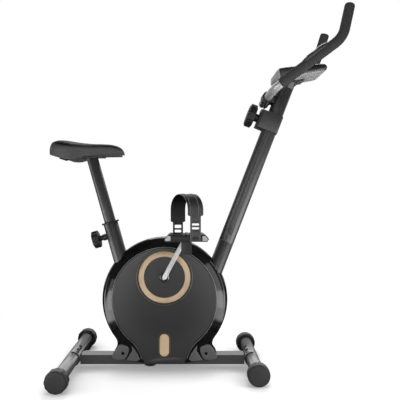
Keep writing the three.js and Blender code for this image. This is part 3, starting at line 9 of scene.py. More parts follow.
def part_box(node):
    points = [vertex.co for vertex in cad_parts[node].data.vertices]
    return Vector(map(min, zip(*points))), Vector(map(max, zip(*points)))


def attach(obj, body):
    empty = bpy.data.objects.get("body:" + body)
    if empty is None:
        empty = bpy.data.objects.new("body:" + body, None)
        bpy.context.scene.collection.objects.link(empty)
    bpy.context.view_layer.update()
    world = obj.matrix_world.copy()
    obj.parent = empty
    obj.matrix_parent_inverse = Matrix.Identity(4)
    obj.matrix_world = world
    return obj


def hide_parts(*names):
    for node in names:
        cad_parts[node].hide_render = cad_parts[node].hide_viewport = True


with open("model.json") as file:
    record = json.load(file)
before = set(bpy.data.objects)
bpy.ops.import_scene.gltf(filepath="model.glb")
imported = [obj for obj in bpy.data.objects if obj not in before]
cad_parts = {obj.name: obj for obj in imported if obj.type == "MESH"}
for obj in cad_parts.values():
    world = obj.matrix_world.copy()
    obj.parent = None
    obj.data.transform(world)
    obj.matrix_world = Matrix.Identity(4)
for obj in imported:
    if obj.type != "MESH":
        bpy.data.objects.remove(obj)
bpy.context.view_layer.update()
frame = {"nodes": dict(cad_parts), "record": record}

MM = 0.001
TURN = 2 * math.pi

# ------------------------------------------------------------------ the drawing's sizes
DRIVE_X = -70.0
CRANK_Z = 300.0
SHELL_X = -70.5
SHELL_Z = 222.0
SHELL_RADIUS = 202.0
SHELL_HALF = 48.0
SHELL_WALL = 3.0
SHELL_BOTTOM = 29.0
SHELL_TIP_HALF = 168.0
SHELL_TIP_Z = 46.0
PANEL_RADIUS = 164.0
PANEL_Z = 227.0
PANEL_BOTTOM_HALF = 64.0
SLOT_Z = 85.0
SLOT_STRAIGHT = 20.5
SCREW_SPREAD, SCREW_Z = 132.0, 56.0
NOTCH_SPREAD, NOTCH_Z = 98.0, 31.0
RIM_HOLE_X, RIM_HOLE_Z = -250.0, 258.6
RAIL_HALF = 21.0
RAIL_TOP = 46.0
SEAT_TOP = (-247.0, 467.0)
SEAT_LEAN = math.radians(-15.8)
SEAT_TUBE_RADIUS = 23.75
MAST_FOOT = (142.7, 445.0)
MAST_LEAN = math.radians(21.2)
MAST_RADIUS = 24.5
COVER_SPIGOT = 83.7
CRANK_LENGTH = 150.0
CRANK_ANGLE = math.radians(27.5)
PEDAL_Y = 137.0
GAP = 0.3


def middle(node):
    low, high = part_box(node)
    return (low + high) / 2


SHIFT = middle("crank_axle").x - DRIVE_X * MM


def at(x, y, z):
    return Vector((x * MM + SHIFT, y * MM, z * MM))


def on_axis(foot, lean, along, across=0.0, y=0.0):
    """A point along a leaning axis in the mid-plane, and across it towards the rider."""
    x = foot[0] + along * math.sin(lean) - across * math.cos(lean)
    z = foot[1] + along * math.cos(lean) + across * math.sin(lean)
    return at(x, y, z)


# ------------------------------------------------------------------ finishes
FACING_UP = "facing_up"
STRAP_RISE = "strap_rise"


def new_finish(name, roughness, metallic=0.0, specular=0.5, coat=0.0):
    material = bpy.data.materials.new(name)
    material.use_nodes = True
    shader = material.node_tree.nodes["Principled BSDF"]
    shader.inputs["Roughness"].default_value = roughness
    shader.inputs["Metallic"].default_value = metallic
    shader.inputs["Specular IOR Level"].default_value = specular
    shader.inputs["Coat Weight"].default_value = coat
    return material


def add_node(material, kind, settings=None, **sockets):
    node = material.node_tree.nodes.new(kind)
    for key, value in (settings or {}).items():
        setattr(node, key, value)
    for key, value in sockets.items():
        node.inputs[key.replace("_", " ")].default_value = value
    return node


def wire(material, source, output, target, socket):
    material.node_tree.links.new(source.outputs[output], target.inputs[socket])


def object_space(material, stretch=(1, 1, 1)):
    """Object coordinates, drawn out along the axes by a Mapping node."""
    place = add_node(material, "ShaderNodeTexCoord")
    mapping = add_node(material, "ShaderNodeMapping")
    mapping.inputs["Scale"].default_value = stretch
    wire(material, place, "Object", mapping, "Vector")
    return mapping


def noise(material, scale, detail=3.0, stretch=(1, 1, 1)):
    texture = add_node(material, "ShaderNodeTexNoise", Scale=scale, Detail=detail, Roughness=0.55)
    wire(material, object_space(material, stretch), "Vector", texture, "Vector")
    return texture


def cells(material, scale, feature="F1"):
    texture = add_node(material, "ShaderNodeTexVoronoi", {"feature": feature}, Scale=scale)
    wire(material, object_space(material), "Vector", texture, "Vector")
    return texture


def tint(material, texture, output, low, high, start=0.35, end=0.65):
    """Runs the base colour between two colours with a texture."""
    ramp = add_node(material, "ShaderNodeValToRGB")
    ramp.color_ramp.elements[0].position = start
    ramp.color_ramp.elements[0].color = (*low, 1)
    ramp.color_ramp.elements[1].position = end
    ramp.color_ramp.elements[1].color = (*high, 1)
    wire(material, texture, output, ramp, "Fac")
    wire(material, ramp, "Color", material.node_tree.nodes["Principled BSDF"], "Base Color")


def vary_roughness(material, texture, output, low, high):
    spread = add_node(material, "ShaderNodeMapRange", To_Min=low, To_Max=high)
    wire(material, texture, output, spread, "Value")
    wire(material, spread, "Result", material.node_tree.nodes["Principled BSDF"], "Roughness")


def raise_grain(material, layers):
    """Stacks bumps: each layer is a texture, its output, a strength and a depth in metres."""
    above = None
    for texture, output, strength, depth in layers:
        bump = add_node(material, "ShaderNodeBump", Strength=strength, Distance=depth)
        wire(material, texture, output, bump, "Height")
        if above is not None:
            wire(material, above, "Normal", bump, "Normal")
        above = bump
    wire(material, above, "Normal", material.node_tree.nodes["Principled BSDF"], "Normal")


def grey(level):
    return (level, level, level * 1.02)


def bare_coat(name, roughness, specular):
    """Baked paint without its colour, and the cloudy texture that it varies with."""
    material = new_finish(name, roughness, specular=specular)
    cloud = noise(material, 9.0, 4.0)
    vary_roughness(material, cloud, "Fac", roughness - 0.03, roughness + 0.05)
    raise_grain(material, [(noise(material, 900.0, 2.0), "Fac", 0.06, 0.0001)])
    return material, cloud


def powder_coat(name, low, high, roughness, specular=0.5):
    material, cloud = bare_coat(name, roughness, specular)
    tint(material, cloud, "Fac", grey(low), grey(high))
    return material


def tint_by_attribute(material, attribute, low, high, start, end):
    """Runs the base colour from one grey to another with a value stored on the mesh."""
    stored = add_node(material, "ShaderNodeAttribute", {"attribute_name": attribute})
    tint(material, stored, "Fac", grey(low), grey(high), start, end)


def shell_satin():
    """Fine satin with a painted sheen: the base colour rises from dark in the middle of the panel
    to lighter towards its rim.
    """
    material = new_finish("shell_satin", 0.42, specular=0.4)
    place = object_space(material)
    middle_of_panel = at(SHELL_X, -SHELL_HALF, PANEL_Z)
    from_middle = add_node(material, "ShaderNodeVectorMath", {"operation": "DISTANCE"})
    from_middle.inputs[1].default_value = middle_of_panel
    wire(material, place, "Vector", from_middle, 0)
    reach = add_node(material, "ShaderNodeMapRange", {"interpolation_type": "SMOOTHSTEP"},
                     From_Min=0.07, From_Max=PANEL_RADIUS * MM)
    wire(material, from_middle, "Value", reach, "Value")
    # painted sheen: the panel's colour lightens with distance from its middle
    tint(material, reach, "Result", grey(0.014), grey(0.030), 0.0, 1.0)
    vary_roughness(material, noise(material, 5.0, 3.0), "Fac", 0.40, 0.46)
    raise_grain(material, [(noise(material, 1500.0, 2.0), "Fac", 0.2, 0.0001)])
    return material


def shell_gloss():
    material = new_finish("shell_gloss", 0.12, specular=0.3)
    cloud = noise(material, 14.0, 4.0)
    tint(material, cloud, "Fac", grey(0.003), grey(0.005))
    vary_roughness(material, cloud, "Fac", 0.09, 0.16)
    raise_grain(material, [(noise(material, 60.0, 1.0), "Fac", 0.04, 0.0004)])
    return material


def grained_plastic(name, low, high, roughness, scale=1100.0, specular=0.45):
    material = new_finish(name, roughness, specular=specular)
    cloud = noise(material, 22.0, 4.0)
    tint(material, cloud, "Fac", low, high)
    vary_roughness(material, cloud, "Fac", roughness - 0.05, roughness + 0.06)
    raise_grain(material, [(cells(material, scale), "Distance", 0.18, 0.00015)])
    return material


def saddle_vinyl():
    """Grey vinyl with painted shade: the base colour darkens where the cover faces up."""
    material = new_finish("saddle_vinyl", 0.6, specular=0.16)
    # painted shade: near black where the cover faces up, mid-grey on its sides
    tint_by_attribute(material, FACING_UP, 0.066, 0.003, 0.12, 0.62)
    vary_roughness(material, noise(material, 16.0, 3.0), "Fac", 0.56, 0.68)
    raise_grain(material, [
        (cells(material, 520.0, "DISTANCE_TO_EDGE"), "Distance", 0.35, 0.00025),
        (noise(material, 1400.0, 2.0), "Fac", 0.12, 0.0001),
    ])
    return material


def grip_foam():
    material = new_finish("grip_foam", 0.86, specular=0.12)
    pores = cells(material, 900.0)
    tint(material, pores, "Distance", grey(0.025), grey(0.052), 0.0, 0.5)
    raise_grain(material, [
        (pores, "Distance", 0.5, 0.0003),
        (noise(material, 130.0, 2.0), "Fac", 0.2, 0.0004),
    ])
    return material


def bare_rubber(name, specular):
    """Rubber without its colour, and the cloudy texture that it varies with."""
    material = new_finish(name, 0.6, specular=specular)
    cloud = noise(material, 40.0, 4.0)
    vary_roughness(material, cloud, "Fac", 0.52, 0.68)
    raise_grain(material, [(noise(material, 850.0, 2.0), "Fac", 0.15, 0.0002)])
    return material, cloud


def even_rubber(name, low, high):
    material, cloud = bare_rubber(name, 0.3)
    tint(material, cloud, "Fac", grey(low), grey(high))
    return material


def rubber_shaded_upward(name, foot, top, specular):
    """Strap rubber with painted shade: the base colour darkens as it climbs from the pedal."""
    material, _ = bare_rubber(name, specular)
    # painted shade: lighter at the pedal, darker towards the strap's top
    tint_by_attribute(material, STRAP_RISE, foot, top, 0.3, 0.85)
    return material


def tube_gloss():
    """Glossy paint with a painted highlight where the tube faces up and painted shade down its
    sides.
    """
    material, _ = bare_coat("tube_gloss", 0.2, 1.0)
    # painted highlight on the top, painted shade down the sides
    tint_by_attribute(material, FACING_UP, 0.06, 0.30, 0.05, 0.75)
    return material


def gold_enamel(name="gold_enamel", depth=1.0):
    material = new_finish(name, 0.42, metallic=0.15, specular=0.4)
    cloud = noise(material, 30.0, 4.0)
    low, high = (0.545, 0.395, 0.245), (0.60, 0.445, 0.285)
    tint(material, cloud, "Fac", [c * depth for c in low], [c * depth for c in high])
    vary_roughness(material, cloud, "Fac", 0.38, 0.48)
    raise_grain(material, [(noise(material, 1300.0, 1.0), "Fac", 0.1, 0.0001)])
    return material


def bright_zinc(name="bright_zinc", low=0.5, high=0.66, roughness=0.3, metallic=0.9):
    material = new_finish(name, roughness, metallic=metallic)
    streaks = noise(material, 45.0, 4.0, (1, 12, 1))
    tint(material, streaks, "Fac", grey(low), grey(high))
    vary_roughness(material, streaks, "Fac", roughness - 0.06, roughness + 0.08)
    raise_grain(material, [(noise(material, 500.0, 2.0), "Fac", 0.08, 0.0001)])
    return material


def display_glass():
    material = new_finish("display_glass", 0.06, specular=0.6, coat=0.4)
    cloud = noise(material, 8.0, 2.0)
    tint(material, cloud, "Fac", (0.010, 0.013, 0.015), (0.016, 0.020, 0.023))
    raise_grain(material, [(noise(material, 20.0, 1.0), "Fac", 0.02, 0.0002)])
    return material


def cast_iron():
    material = new_finish("cast_iron", 0.45, metallic=0.8)
    cloud = noise(material, 60.0, 5.0)
    tint(material, cloud, "Fac", grey(0.14), grey(0.22))
    vary_roughness(material, cloud, "Fac", 0.36, 0.6)
    raise_grain(material, [(noise(material, 400.0, 4.0), "Fac", 0.3, 0.0003)])
    return material


COAT = powder_coat("powder_coat", 0.022, 0.028, 0.42)
SHINY_COAT = powder_coat("shiny_coat", 0.05, 0.065, 0.18, 1.0)
SATIN = shell_satin()
# painted highlight: the foot tabs and facets in a lighter grey than the rest of the moulding
FOOT_TAB_HIGHLIGHT = grained_plastic("shell_foot_highlight", grey(0.088), grey(0.108), 0.40)
GLOSS = shell_gloss()
BLACK = grained_plastic("black_moulding", grey(0.006), grey(0.010), 0.5, specular=0.25)
DARK = grained_plastic("dark_moulding", grey(0.031), grey(0.039), 0.42)
CASE = grained_plastic("console_black", grey(0.012), grey(0.017), 0.4)
COVER = grained_plastic("cover_satin", grey(0.007), grey(0.010), 0.42)
PALE = grained_plastic("pale_moulding", grey(0.33), grey(0.40), 0.5)
VINYL = saddle_vinyl()
FOAM = grip_foam()
# painted shade: the strap's colour darkens from the pedal upward
STRAP = rubber_shaded_upward("strap_rubber", 0.055, 0.014, 0.3)
# painted highlight: a light grey rubber on the rearward edges of the strap's outer leg
STRAP_EDGE_HIGHLIGHT = even_rubber("strap_edge_highlight", 0.16, 0.22)
FOOT = even_rubber("foot_rubber", 0.010, 0.018)
# painted shade: a darker copy of the strap rubber for its inside faces, where shade falls
STRAP_INSIDE_SHADE = rubber_shaded_upward("strap_inside_shade", 0.030, 0.0005, 0.08)
GOLD = gold_enamel()
RING_GOLD = gold_enamel("ring_enamel", 0.84)
ZINC = bright_zinc()
TUBE_GLOSS = tube_gloss()
BAR_PAINT = bright_zinc("bar_silver_paint", 0.34, 0.42, 0.42, 0.25)
CRANK_STEEL = bright_zinc("crank_steel", 0.56, 0.70, 0.34, 0.4)
BOLT = bright_zinc("black_zinc", 0.03, 0.05, 0.35)
CONTACT = bright_zinc("contact_steel", 0.05, 0.08, 0.45)
LINE = gold_enamel("line_enamel", 0.3)
# painted highlight: a light grey line along the panel's rim
PANEL_RIM_HIGHLIGHT = grained_plastic("panel_rim_highlight", grey(0.17), grey(0.23), 0.4)
REFLECTOR = grained_plastic("pedal_reflector", grey(0.36), grey(0.55), 0.3, 260.0)
GLASS = display_glass()
IRON = cast_iron()


# ------------------------------------------------------------------ making pieces
def link(name, mesh, *finishes):
    thing = bpy.data.objects.new(name, mesh)
    bpy.context.scene.collection.objects.link(thing)
    for finish in finishes:
        mesh.materials.append(finish)
    return thing


def shade(mesh, angle=32.0):
    mesh.shade_smooth()
    mesh.set_sharp_from_angle(angle=math.radians(angle))


def bake_modifiers(thing):
    """Turns a piece's modifiers into plain mesh."""
    graph = bpy.context.evaluated_depsgraph_get()
    mesh = bpy.data.meshes.new_from_object(
        thing.evaluated_get(graph), preserve_all_data_layers=True, depsgraph=graph)
    thing.modifiers.clear()
    thing.data = mesh
    return thing


def soften(thing, width, segments=2, angle=30.0):
    """Rounds the sharp edges."""
    bevel = thing.modifiers.new("round_edges", "BEVEL")
    bevel.limit_method = "ANGLE"
    bevel.angle_limit = math.radians(angle)
    bevel.width = width * MM
    bevel.segments = segments
    bevel.harden_normals = True
    return bake_modifiers(thing)


def carve(thing, *cutters, operation="DIFFERENCE"):
    for cutter in cutters:
        boolean = thing.modifiers.new("carve", "BOOLEAN")
        boolean.operation = operation
        boolean.solver = "EXACT"
        boolean.object = cutter
        bake_modifiers(thing)
        bpy.data.objects.remove(cutter)
    return thing


def note_facing(mesh):
    """Stores how far each vertex faces up, for the finishes that paint light and shade with it."""
    facing = mesh.attributes.new(FACING_UP, "FLOAT", "POINT")
    facing.data.foreach_set("value", [vertex.normal.z for vertex in mesh.vertices])


def settle(thing, body, slot, *nodes):
    """Gives a finished piece its body, and hides the CAD nodes it stands for; the slot is not used.
    """
    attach(thing, body)
    if nodes:
        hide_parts(*nodes)
    return thing


BODY_OF = {node: body for body, nodes in frame["record"]["behaviour"]["bodies"].items()
           for node in nodes}
SLOT_OF = {entry["node"]: entry["material_slot"] for entry in frame["record"]["subparts"]}
EDGE_ROUNDING = 0.6


def stand_for(thing, node):
    return settle(thing, BODY_OF[node], SLOT_OF[node], node)


def refined(node, finish):
    """A CAD node's shape with merged faces and rounded edges."""
    mesh = frame["nodes"][node].data.copy()
    mesh.materials.clear()
    work = bmesh.new()
    work.from_mesh(mesh)
    bmesh.ops.remove_doubles(work, verts=work.verts, dist=0.005 * MM)
    bmesh.ops.dissolve_limit(
        work, angle_limit=math.radians(0.6), verts=work.verts, edges=work.edges)
    work.to_mesh(mesh)
    work.free()
    shade(mesh)
    thing = link(f"{node}_finished", mesh, finish)
    soften(thing, EDGE_ROUNDING)
    shade(thing.data)
    return stand_for(thing, node)


def skin(rings):
    """Faces between rings of equally many points, with both ends closed."""
    count = len(rings[0])
    vertices = [point for ring in rings for point in ring]
    faces = []
    for ring in range(len(rings) - 1):
        for i in range(count):
            j = (i + 1) % count
            a, b = ring * count + i, ring * count + j
            faces.append((a, b, b + count, a + count))
    faces.append(tuple(range(count - 1, -1, -1)))
    last = (len(rings) - 1) * count
    faces.append(tuple(range(last, last + count)))
    return vertices, faces


def mesh_from(name, vertices, faces, angle=32.0):
    mesh = bpy.data.meshes.new(name)
    mesh.from_pydata([tuple(v) for v in vertices], [], faces)
    work = bmesh.new()
    work.from_mesh(mesh)
    bmesh.ops.remove_doubles(work, verts=work.verts, dist=0.002 * MM)
    bmesh.ops.dissolve_degenerate(work, edges=work.edges, dist=0.001 * MM)
    bmesh.ops.recalc_face_normals(work, faces=work.faces)
    work.to_mesh(mesh)
    work.free()
    shade(mesh, angle)
    return mesh


def lofted(name, rings, *finishes, angle=32.0):
    return link(name, mesh_from(name, *skin(rings), angle), *finishes)


def axis_basis(direction):
    direction = direction.normalized()
    side = Vector((0, 1, 0)) if abs(direction.y) < 0.9 else Vector((1, 0, 0))
    first = side.cross(direction).normalized()
    return first, direction.cross(first), direction


def turned(name, profile, origin, direction, *finishes, steps=64, angle=32.0, lobes=0,
           pinch=1):
    """A closed profile of (radius, distance) pairs in millimetres, turned about an axis.
    A third number on a pair is how far the radius dips between lobes."""
    first, second, ahead = axis_basis(direction)
    count = len(profile)
    vertices = []
    for step in range(steps):
        spin = TURN * step / steps
        out = first * math.cos(spin) + second * math.sin(spin)
        dip = ((1 - math.cos(lobes * spin)) / 2) ** pinch
        for radius, distance, *depth in profile:
            reach = radius - (depth[0] * dip if depth else 0)
            vertices.append(origin + out * (reach * MM) + ahead * (distance * MM))
    faces = []
    for step in range(steps):
        a0, b0 = step * count, (step + 1) % steps * count
        for i in range(count):
            j = (i + 1) % count
            if profile[i][0] == 0 and profile[j][0] == 0:
                continue
            faces.append((a0 + i, a0 + j, b0 + j, b0 + i))
    return link(name, mesh_from(name, vertices, faces, angle), *finishes)


def plain_rod(start, end, radius, steps=64):
    reach = (end - start).length / MM
    return turned("cutter", [(0, 0), (radius, 0), (radius, reach), (0, reach)],
                  start, end - start, steps=steps)


def plain_box(low, high):
    (x0, y0, z0), (x1, y1, z1) = low, high
    corners = [Vector((x, y, z)) for z in (z0, z1) for x, y in
               ((x0, y0), (x1, y0), (x1, y1), (x0, y1))]
    return lofted("cutter", [corners[:4], corners[4:]])


def mirrored(thing, name):
    """The same piece on the rider's left."""
    mesh = thing.data.copy()
    mesh.transform(Matrix.Scale(-1, 4, Vector((0, 1, 0))))
    mesh.flip_normals()
    other = bpy.data.objects.new(name, mesh)
    bpy.context.scene.collection.objects.link(other)
    return other


def mirrored_pair(thing, right_node, left_node):
    """Stands a piece for the right node, and its mirror image for the left one."""
    other = mirrored(thing, thing.name.replace("right", "left"))
    stand_for(thing, right_node)
    stand_for(other, left_node)


def joined(name, *things):
    """Several pieces as one mesh, each with its own finishes."""
    mesh = bpy.data.meshes.new(name)
    work = bmesh.new()
    finishes = []
    for thing in things:
        done = len(work.faces)
        own = list(thing.data.materials)
        finishes += [finish for finish in own if finish not in finishes]
        work.from_mesh(thing.data)
        work.faces.ensure_lookup_table()
        for face in work.faces[done:]:
            face.material_index = finishes.index(own[face.material_index])
        bpy.data.objects.remove(thing)
    work.to_mesh(mesh)
    work.free()
    return link(name, mesh, *finishes)


# ------------------------------------------------------------------ paths and repeats
def node_tree(name, *fields):
    """A geometry tree that takes a mesh and the named fields, and its input node."""
    tree = bpy.data.node_groups.new(name, "GeometryNodeTree")
    sockets = [("Geometry", "Geometry"), *fields, ("Finish", "Material")]
    for label, kind in sockets:
        tree.interface.new_socket(label, in_out="INPUT", socket_type=f"NodeSocket{kind}")
    tree.interface.new_socket("Geometry", in_out="OUTPUT", socket_type="NodeSocketGeometry")
    return tree, tree.nodes.new("NodeGroupInput")


def put_out(tree, entry, geometry):
    """Makes the tree's geometry real, colours it and puts it out."""
    real = tree.nodes.new("GeometryNodeRealizeInstances")
    paint = tree.nodes.new("GeometryNodeSetMaterial")
    leave = tree.nodes.new("NodeGroupOutput")
    tree.links.new(geometry, real.inputs["Geometry"])
    tree.links.new(real.outputs["Geometry"], paint.inputs["Geometry"])
    tree.links.new(entry.outputs["Finish"], paint.inputs["Material"])
    tree.links.new(paint.outputs["Geometry"], leave.inputs["Geometry"])
    return tree


def pipe_tree():
    """Sweeps a round section along a line of edges."""
    tree, entry = node_tree("pipe_along_line", ("Radius", "Float"), ("Sides", "Int"))
    line = tree.nodes.new("GeometryNodeMeshToCurve")
    ring = tree.nodes.new("GeometryNodeCurvePrimitiveCircle")
    sweep = tree.nodes.new("GeometryNodeCurveToMesh")
    sweep.inputs["Fill Caps"].default_value = True
    tree.links.new(entry.outputs["Geometry"], line.inputs["Mesh"])
    tree.links.new(entry.outputs["Sides"], ring.inputs["Resolution"])
    tree.links.new(entry.outputs["Radius"], ring.inputs["Radius"])
    tree.links.new(line.outputs["Curve"], sweep.inputs["Curve"])
    tree.links.new(ring.outputs["Curve"], sweep.inputs["Profile Curve"])
    return put_out(tree, entry, sweep.outputs["Mesh"])


def arithmetic(tree, operation, first, second):
    node = tree.nodes.new("ShaderNodeMath")
    node.operation = operation
    for socket, value in zip(node.inputs, (first, second)):
        if isinstance(value, float):
            socket.default_value = value
        else:
            tree.links.new(value, socket)
    return node.outputs["Value"]


def repeat_tree():
    """Repeats a piece, each copy turned about Z and moved along X by a fixed step."""
    tree, entry = node_tree("repeat_in_steps", ("Count", "Int"), ("Turn", "Float"),
                            ("Move", "Float"))
    points = tree.nodes.new("GeometryNodePoints")
    index = tree.nodes.new("GeometryNodeInputIndex")
    angles = tree.nodes.new("ShaderNodeCombineXYZ")
    places = tree.nodes.new("ShaderNodeCombineXYZ")
    spread = tree.nodes.new("GeometryNodeInstanceOnPoints")
    turn = arithmetic(tree, "MULTIPLY", index.outputs["Index"], entry.outputs["Turn"])
    move = arithmetic(tree, "MULTIPLY", index.outputs["Index"], entry.outputs["Move"])
    tree.links.new(turn, angles.inputs["Z"])
    tree.links.new(move, places.inputs["X"])
    tree.links.new(entry.outputs["Count"], points.inputs["Count"])
    tree.links.new(places.outputs["Vector"], points.inputs["Position"])
    tree.links.new(points.outputs["Points"], spread.inputs["Points"])
    tree.links.new(entry.outputs["Geometry"], spread.inputs["Instance"])
    tree.links.new(angles.outputs["Vector"], spread.inputs["Rotation"])
    return put_out(tree, entry, spread.outputs["Instances"])


PIPE = pipe_tree()
REPEAT = repeat_tree()


def grown(name, mesh, tree, finish, place=None, **values):
    """A mesh put through a tree, then moved to its place."""
    thing = link(name, mesh, finish)
    modifier = thing.modifiers.new("grow", "NODES")
    modifier.node_group = tree
    values["Finish"] = finish
    for item in tree.interface.items_tree:
        if item.in_out == "INPUT" and item.name in values:
            modifier[item.identifier] = values[item.name]
    bake_modifiers(thing)
    if place is not None:
        thing.data.transform(place)
    shade(thing.data)
    return thing


def line_mesh(points):
    mesh = bpy.data.meshes.new("line")
    mesh.from_pydata([tuple(p) for p in points], [(i, i + 1) for i in range(len(points) - 1)],
                     [])
    return mesh


def pipe(name, points, radius, finish, sides=48):
    return grown(name, line_mesh(points), PIPE, finish, Radius=radius * MM, Sides=sides)


def placed_along(origin, direction):
    """The matrix that lays Z along a direction from an origin."""
    first, second, ahead = axis_basis(direction)
    turn = Matrix((first, second, ahead)).transposed().to_4x4()
    return Matrix.Translation(origin) @ turn


# ------------------------------------------------------------------ shell halves
ARC_STEPS = 120
BEVEL_STEPS = 12
BEVEL_CROWN = 6.0
LEG_STEPS = 16
CUT_FROM = -60.0
TAB_FINISH = 2        # the place of the tabs' finish among the shell's three, whose lighter grey paints the tabs' highlight


def bezier(points, share):
    while len(points) > 1:
        points = [(a[0] + (b[0] - a[0]) * share, a[1] + (b[1] - a[1]) * share)
                  for a, b in zip(points, points[1:])]
    return points[0]


def outline_ring(y, radius, centre_z, start, leg, bottom_half, bottom_z):
    points = []
    for i in range(ARC_STEPS + 1):
        angle = start + (math.pi - 2 * start) * i / ARC_STEPS
        points.append((radius * math.cos(angle), centre_z + radius * math.sin(angle)))
    left = [bezier(leg, i / LEG_STEPS) for i in range(1, LEG_STEPS + 1)]
    left = [(-x, z) for x, z in left] + [(-bottom_half, bottom_z)]
    right = [(-x, z) for x, z in reversed(left)]
    return [at(SHELL_X + x, y, z) for x, z in points + left + right]


def outer_ring(y, inset):
    radius = SHELL_RADIUS - inset
    start = math.radians(-36)
    top = (radius * math.cos(start), SHELL_Z + radius * math.sin(start))
    tip = (SHELL_TIP_HALF - inset, SHELL_TIP_Z)
    leg = [top, (top[0] + 30 * math.sin(start), top[1] - 30 * math.cos(start)),
           (tip[0] - 14, tip[1] + 26), tip]
    return outline_ring(y, radius, SHELL_Z, start, leg, tip[0] - 9, SHELL_BOTTOM + inset)


def panel_ring(y, inset):
    radius = PANEL_RADIUS - inset
    start = math.radians(-50)
    top = (radius * math.cos(start), PANEL_Z + radius * math.sin(start))
    leg = [top, (top[0] + 34 * math.sin(start), top[1] - 34 * math.cos(start)),
           (PANEL_BOTTOM_HALF + 4 - inset, SHELL_BOTTOM + 12)]
    return outline_ring(y, radius, PANEL_Z, start, leg, PANEL_BOTTOM_HALF - inset,
                        SHELL_BOTTOM + max(inset, 0))


def rounded(corners, steps=6):
    """A closed line that curves past each corner from midpoint to midpoint."""
    line = []
    for i, corner in enumerate(corners):
        ends = [((corner[0] + other[0]) / 2, (corner[1] + other[1]) / 2)
                for other in (corners[i - 1], corners[(i + 1) % len(corners)])]
        line += [bezier([ends[0], corner, ends[1]], step / steps) for step in range(steps)]
    return line


def foot_tab(sign):
    """The rounded tab at a foot of the shell that takes its screw."""
    line = rounded([(168, 47), (158, 61), (145, 81), (132, 83), (117, 78), (110, 72), (113, 60),
                    (120, 43), (129, 35), (150, 34), (166, 38)])
    rings = [[at(SHELL_X + sign * x, y, z) for x, z in line] for y in (-22, -37)]
    return painted(soften(lofted("tab", rings, SATIN), 2.4, 4, 50), TAB_FINISH)


def foot_facet(sign):
    """The sloped facet between the tab and the panel's leg."""
    corners = [(109, 92), (84, 56), (77, 40), (86, 33.5), (122, 34.5), (115, 44), (102, 64),
               (104, 78)]
    rings = [[at(SHELL_X + sign * x, -24, z) for x, z in corners],
             [at(SHELL_X + sign * x, -47.3 + (x - 78) * 0.22, z) for x, z in corners]]
    return painted(soften(lofted("facet", rings, SATIN), 1.2, 3, 40), TAB_FINISH)


def painted(thing, index):
    for face in thing.data.polygons:
        face.material_index = index
    return thing


def slot_line(radius, y):
    """The upright slot's outline, with round ends, at a depth in the panel."""
    line = []
    for end in (1, -1):
        for i in range(17):
            turn = math.pi * i / 16 + (0 if end == 1 else math.pi)
            line.append(at(SHELL_X + radius * math.cos(turn), y,
                           SLOT_Z + end * SLOT_STRAIGHT + radius * math.sin(turn)))
    return line


def bored(x, z, y, radius, steps):
    """A cutter that bores in from outside the right half to a depth."""
    return plain_rod(at(x, CUT_FROM, z), at(x, y, z), radius, steps)


def crowned(low, high, share):
    """A ring between two others, lifted so that the bevel rounds over near the panel."""
    lift = Vector((0, -BEVEL_CROWN * MM * share * (1 - share), 0))
    return [a.lerp(b, share) + lift for a, b in zip(low, high)]


def shell_half():
    outside = [outer_ring(y, inset) for y, inset in (
        (-0.15, 1.4), (-1.2, 1.0), (-1.6, 0.2), (-2.4, 0), (-8, 0), (-13, 1.2), (-18, 4.0),
        (-22.6, 7.6), (-23.7, 8.7), (-24.4, 10.0))]
    crown = panel_ring(-46.0, -3.1)
    outside += [crowned(outside[-1], crown, i / BEVEL_STEPS) for i in range(1, BEVEL_STEPS)]
    outside += [crown]
    outside += [panel_ring(y, inset) for y, inset in (
        (-47.0, -1.9), (-47.7, -0.7), (-47.95, 0.5), (-48.0, 1.6))]
    inside = [outer_ring(1, SHELL_WALL), outer_ring(-21, 12), panel_ring(-45, 3)]
    half = lofted("shell_right_moulding", outside, GLOSS, SATIN, FOOT_TAB_HIGHLIGHT)
    inner = lofted("cutter", inside)
    carve(half, inner)
    carve(half, foot_tab(-1), foot_tab(1), foot_facet(-1), foot_facet(1), operation="UNION")
    cutters = [
        plain_box(at(-400, -RAIL_HALF - GAP, -10), at(300, 30, RAIL_TOP + GAP)),
        plain_rod(on_axis(SEAT_TOP, SEAT_LEAN, -440), on_axis(SEAT_TOP, SEAT_LEAN, 10),
                  SEAT_TUBE_RADIUS + 2 * GAP),
        plain_rod(on_axis(MAST_FOOT, MAST_LEAN, -480), on_axis(MAST_FOOT, MAST_LEAN, 0),
                  MAST_RADIUS + 2 * GAP),
        bored(DRIVE_X, CRANK_Z, -40, COVER_SPIGOT + GAP, 96),
        lofted("cutter", [slot_line(16.2, CUT_FROM), slot_line(16.2, 1.2 - SHELL_HALF)]),
        bored(RIM_HOLE_X, RIM_HOLE_Z, -29, 4.4, 32),
    ]
    for side in (-1, 1):
        cutters += [bored(SHELL_X + side * SCREW_SPREAD, SCREW_Z, -26, 5.0, 40),
                    bored(SHELL_X + side * NOTCH_SPREAD, NOTCH_Z, -34, 3.8, 32)]
    carve(half, *cutters)
    for face in half.data.polygons:
        if face.material_index != TAB_FINISH:
            flat = face.normal.y < -0.995 and face.center.y < (0.2 - SHELL_HALF) * MM
            face.material_index = int(flat)
    shade(half.data, 24)
    return half


shell_right = shell_half()
shell_left = mirrored(shell_right, "shell_left_moulding")
stand_for(shell_right, "shell_right")
stand_for(shell_left, "shell_left")

# ------------------------------------------------------------------ saddle
CUSHION_INSET = 1.6
CUSHION_MESH = 2.8
RIM_SMOOTHING = 6
COVER_SMOOTHING = 8
PUFF_FRAMES = 20
HELD_RINGS = 3
PUFF_REACH = 2.2


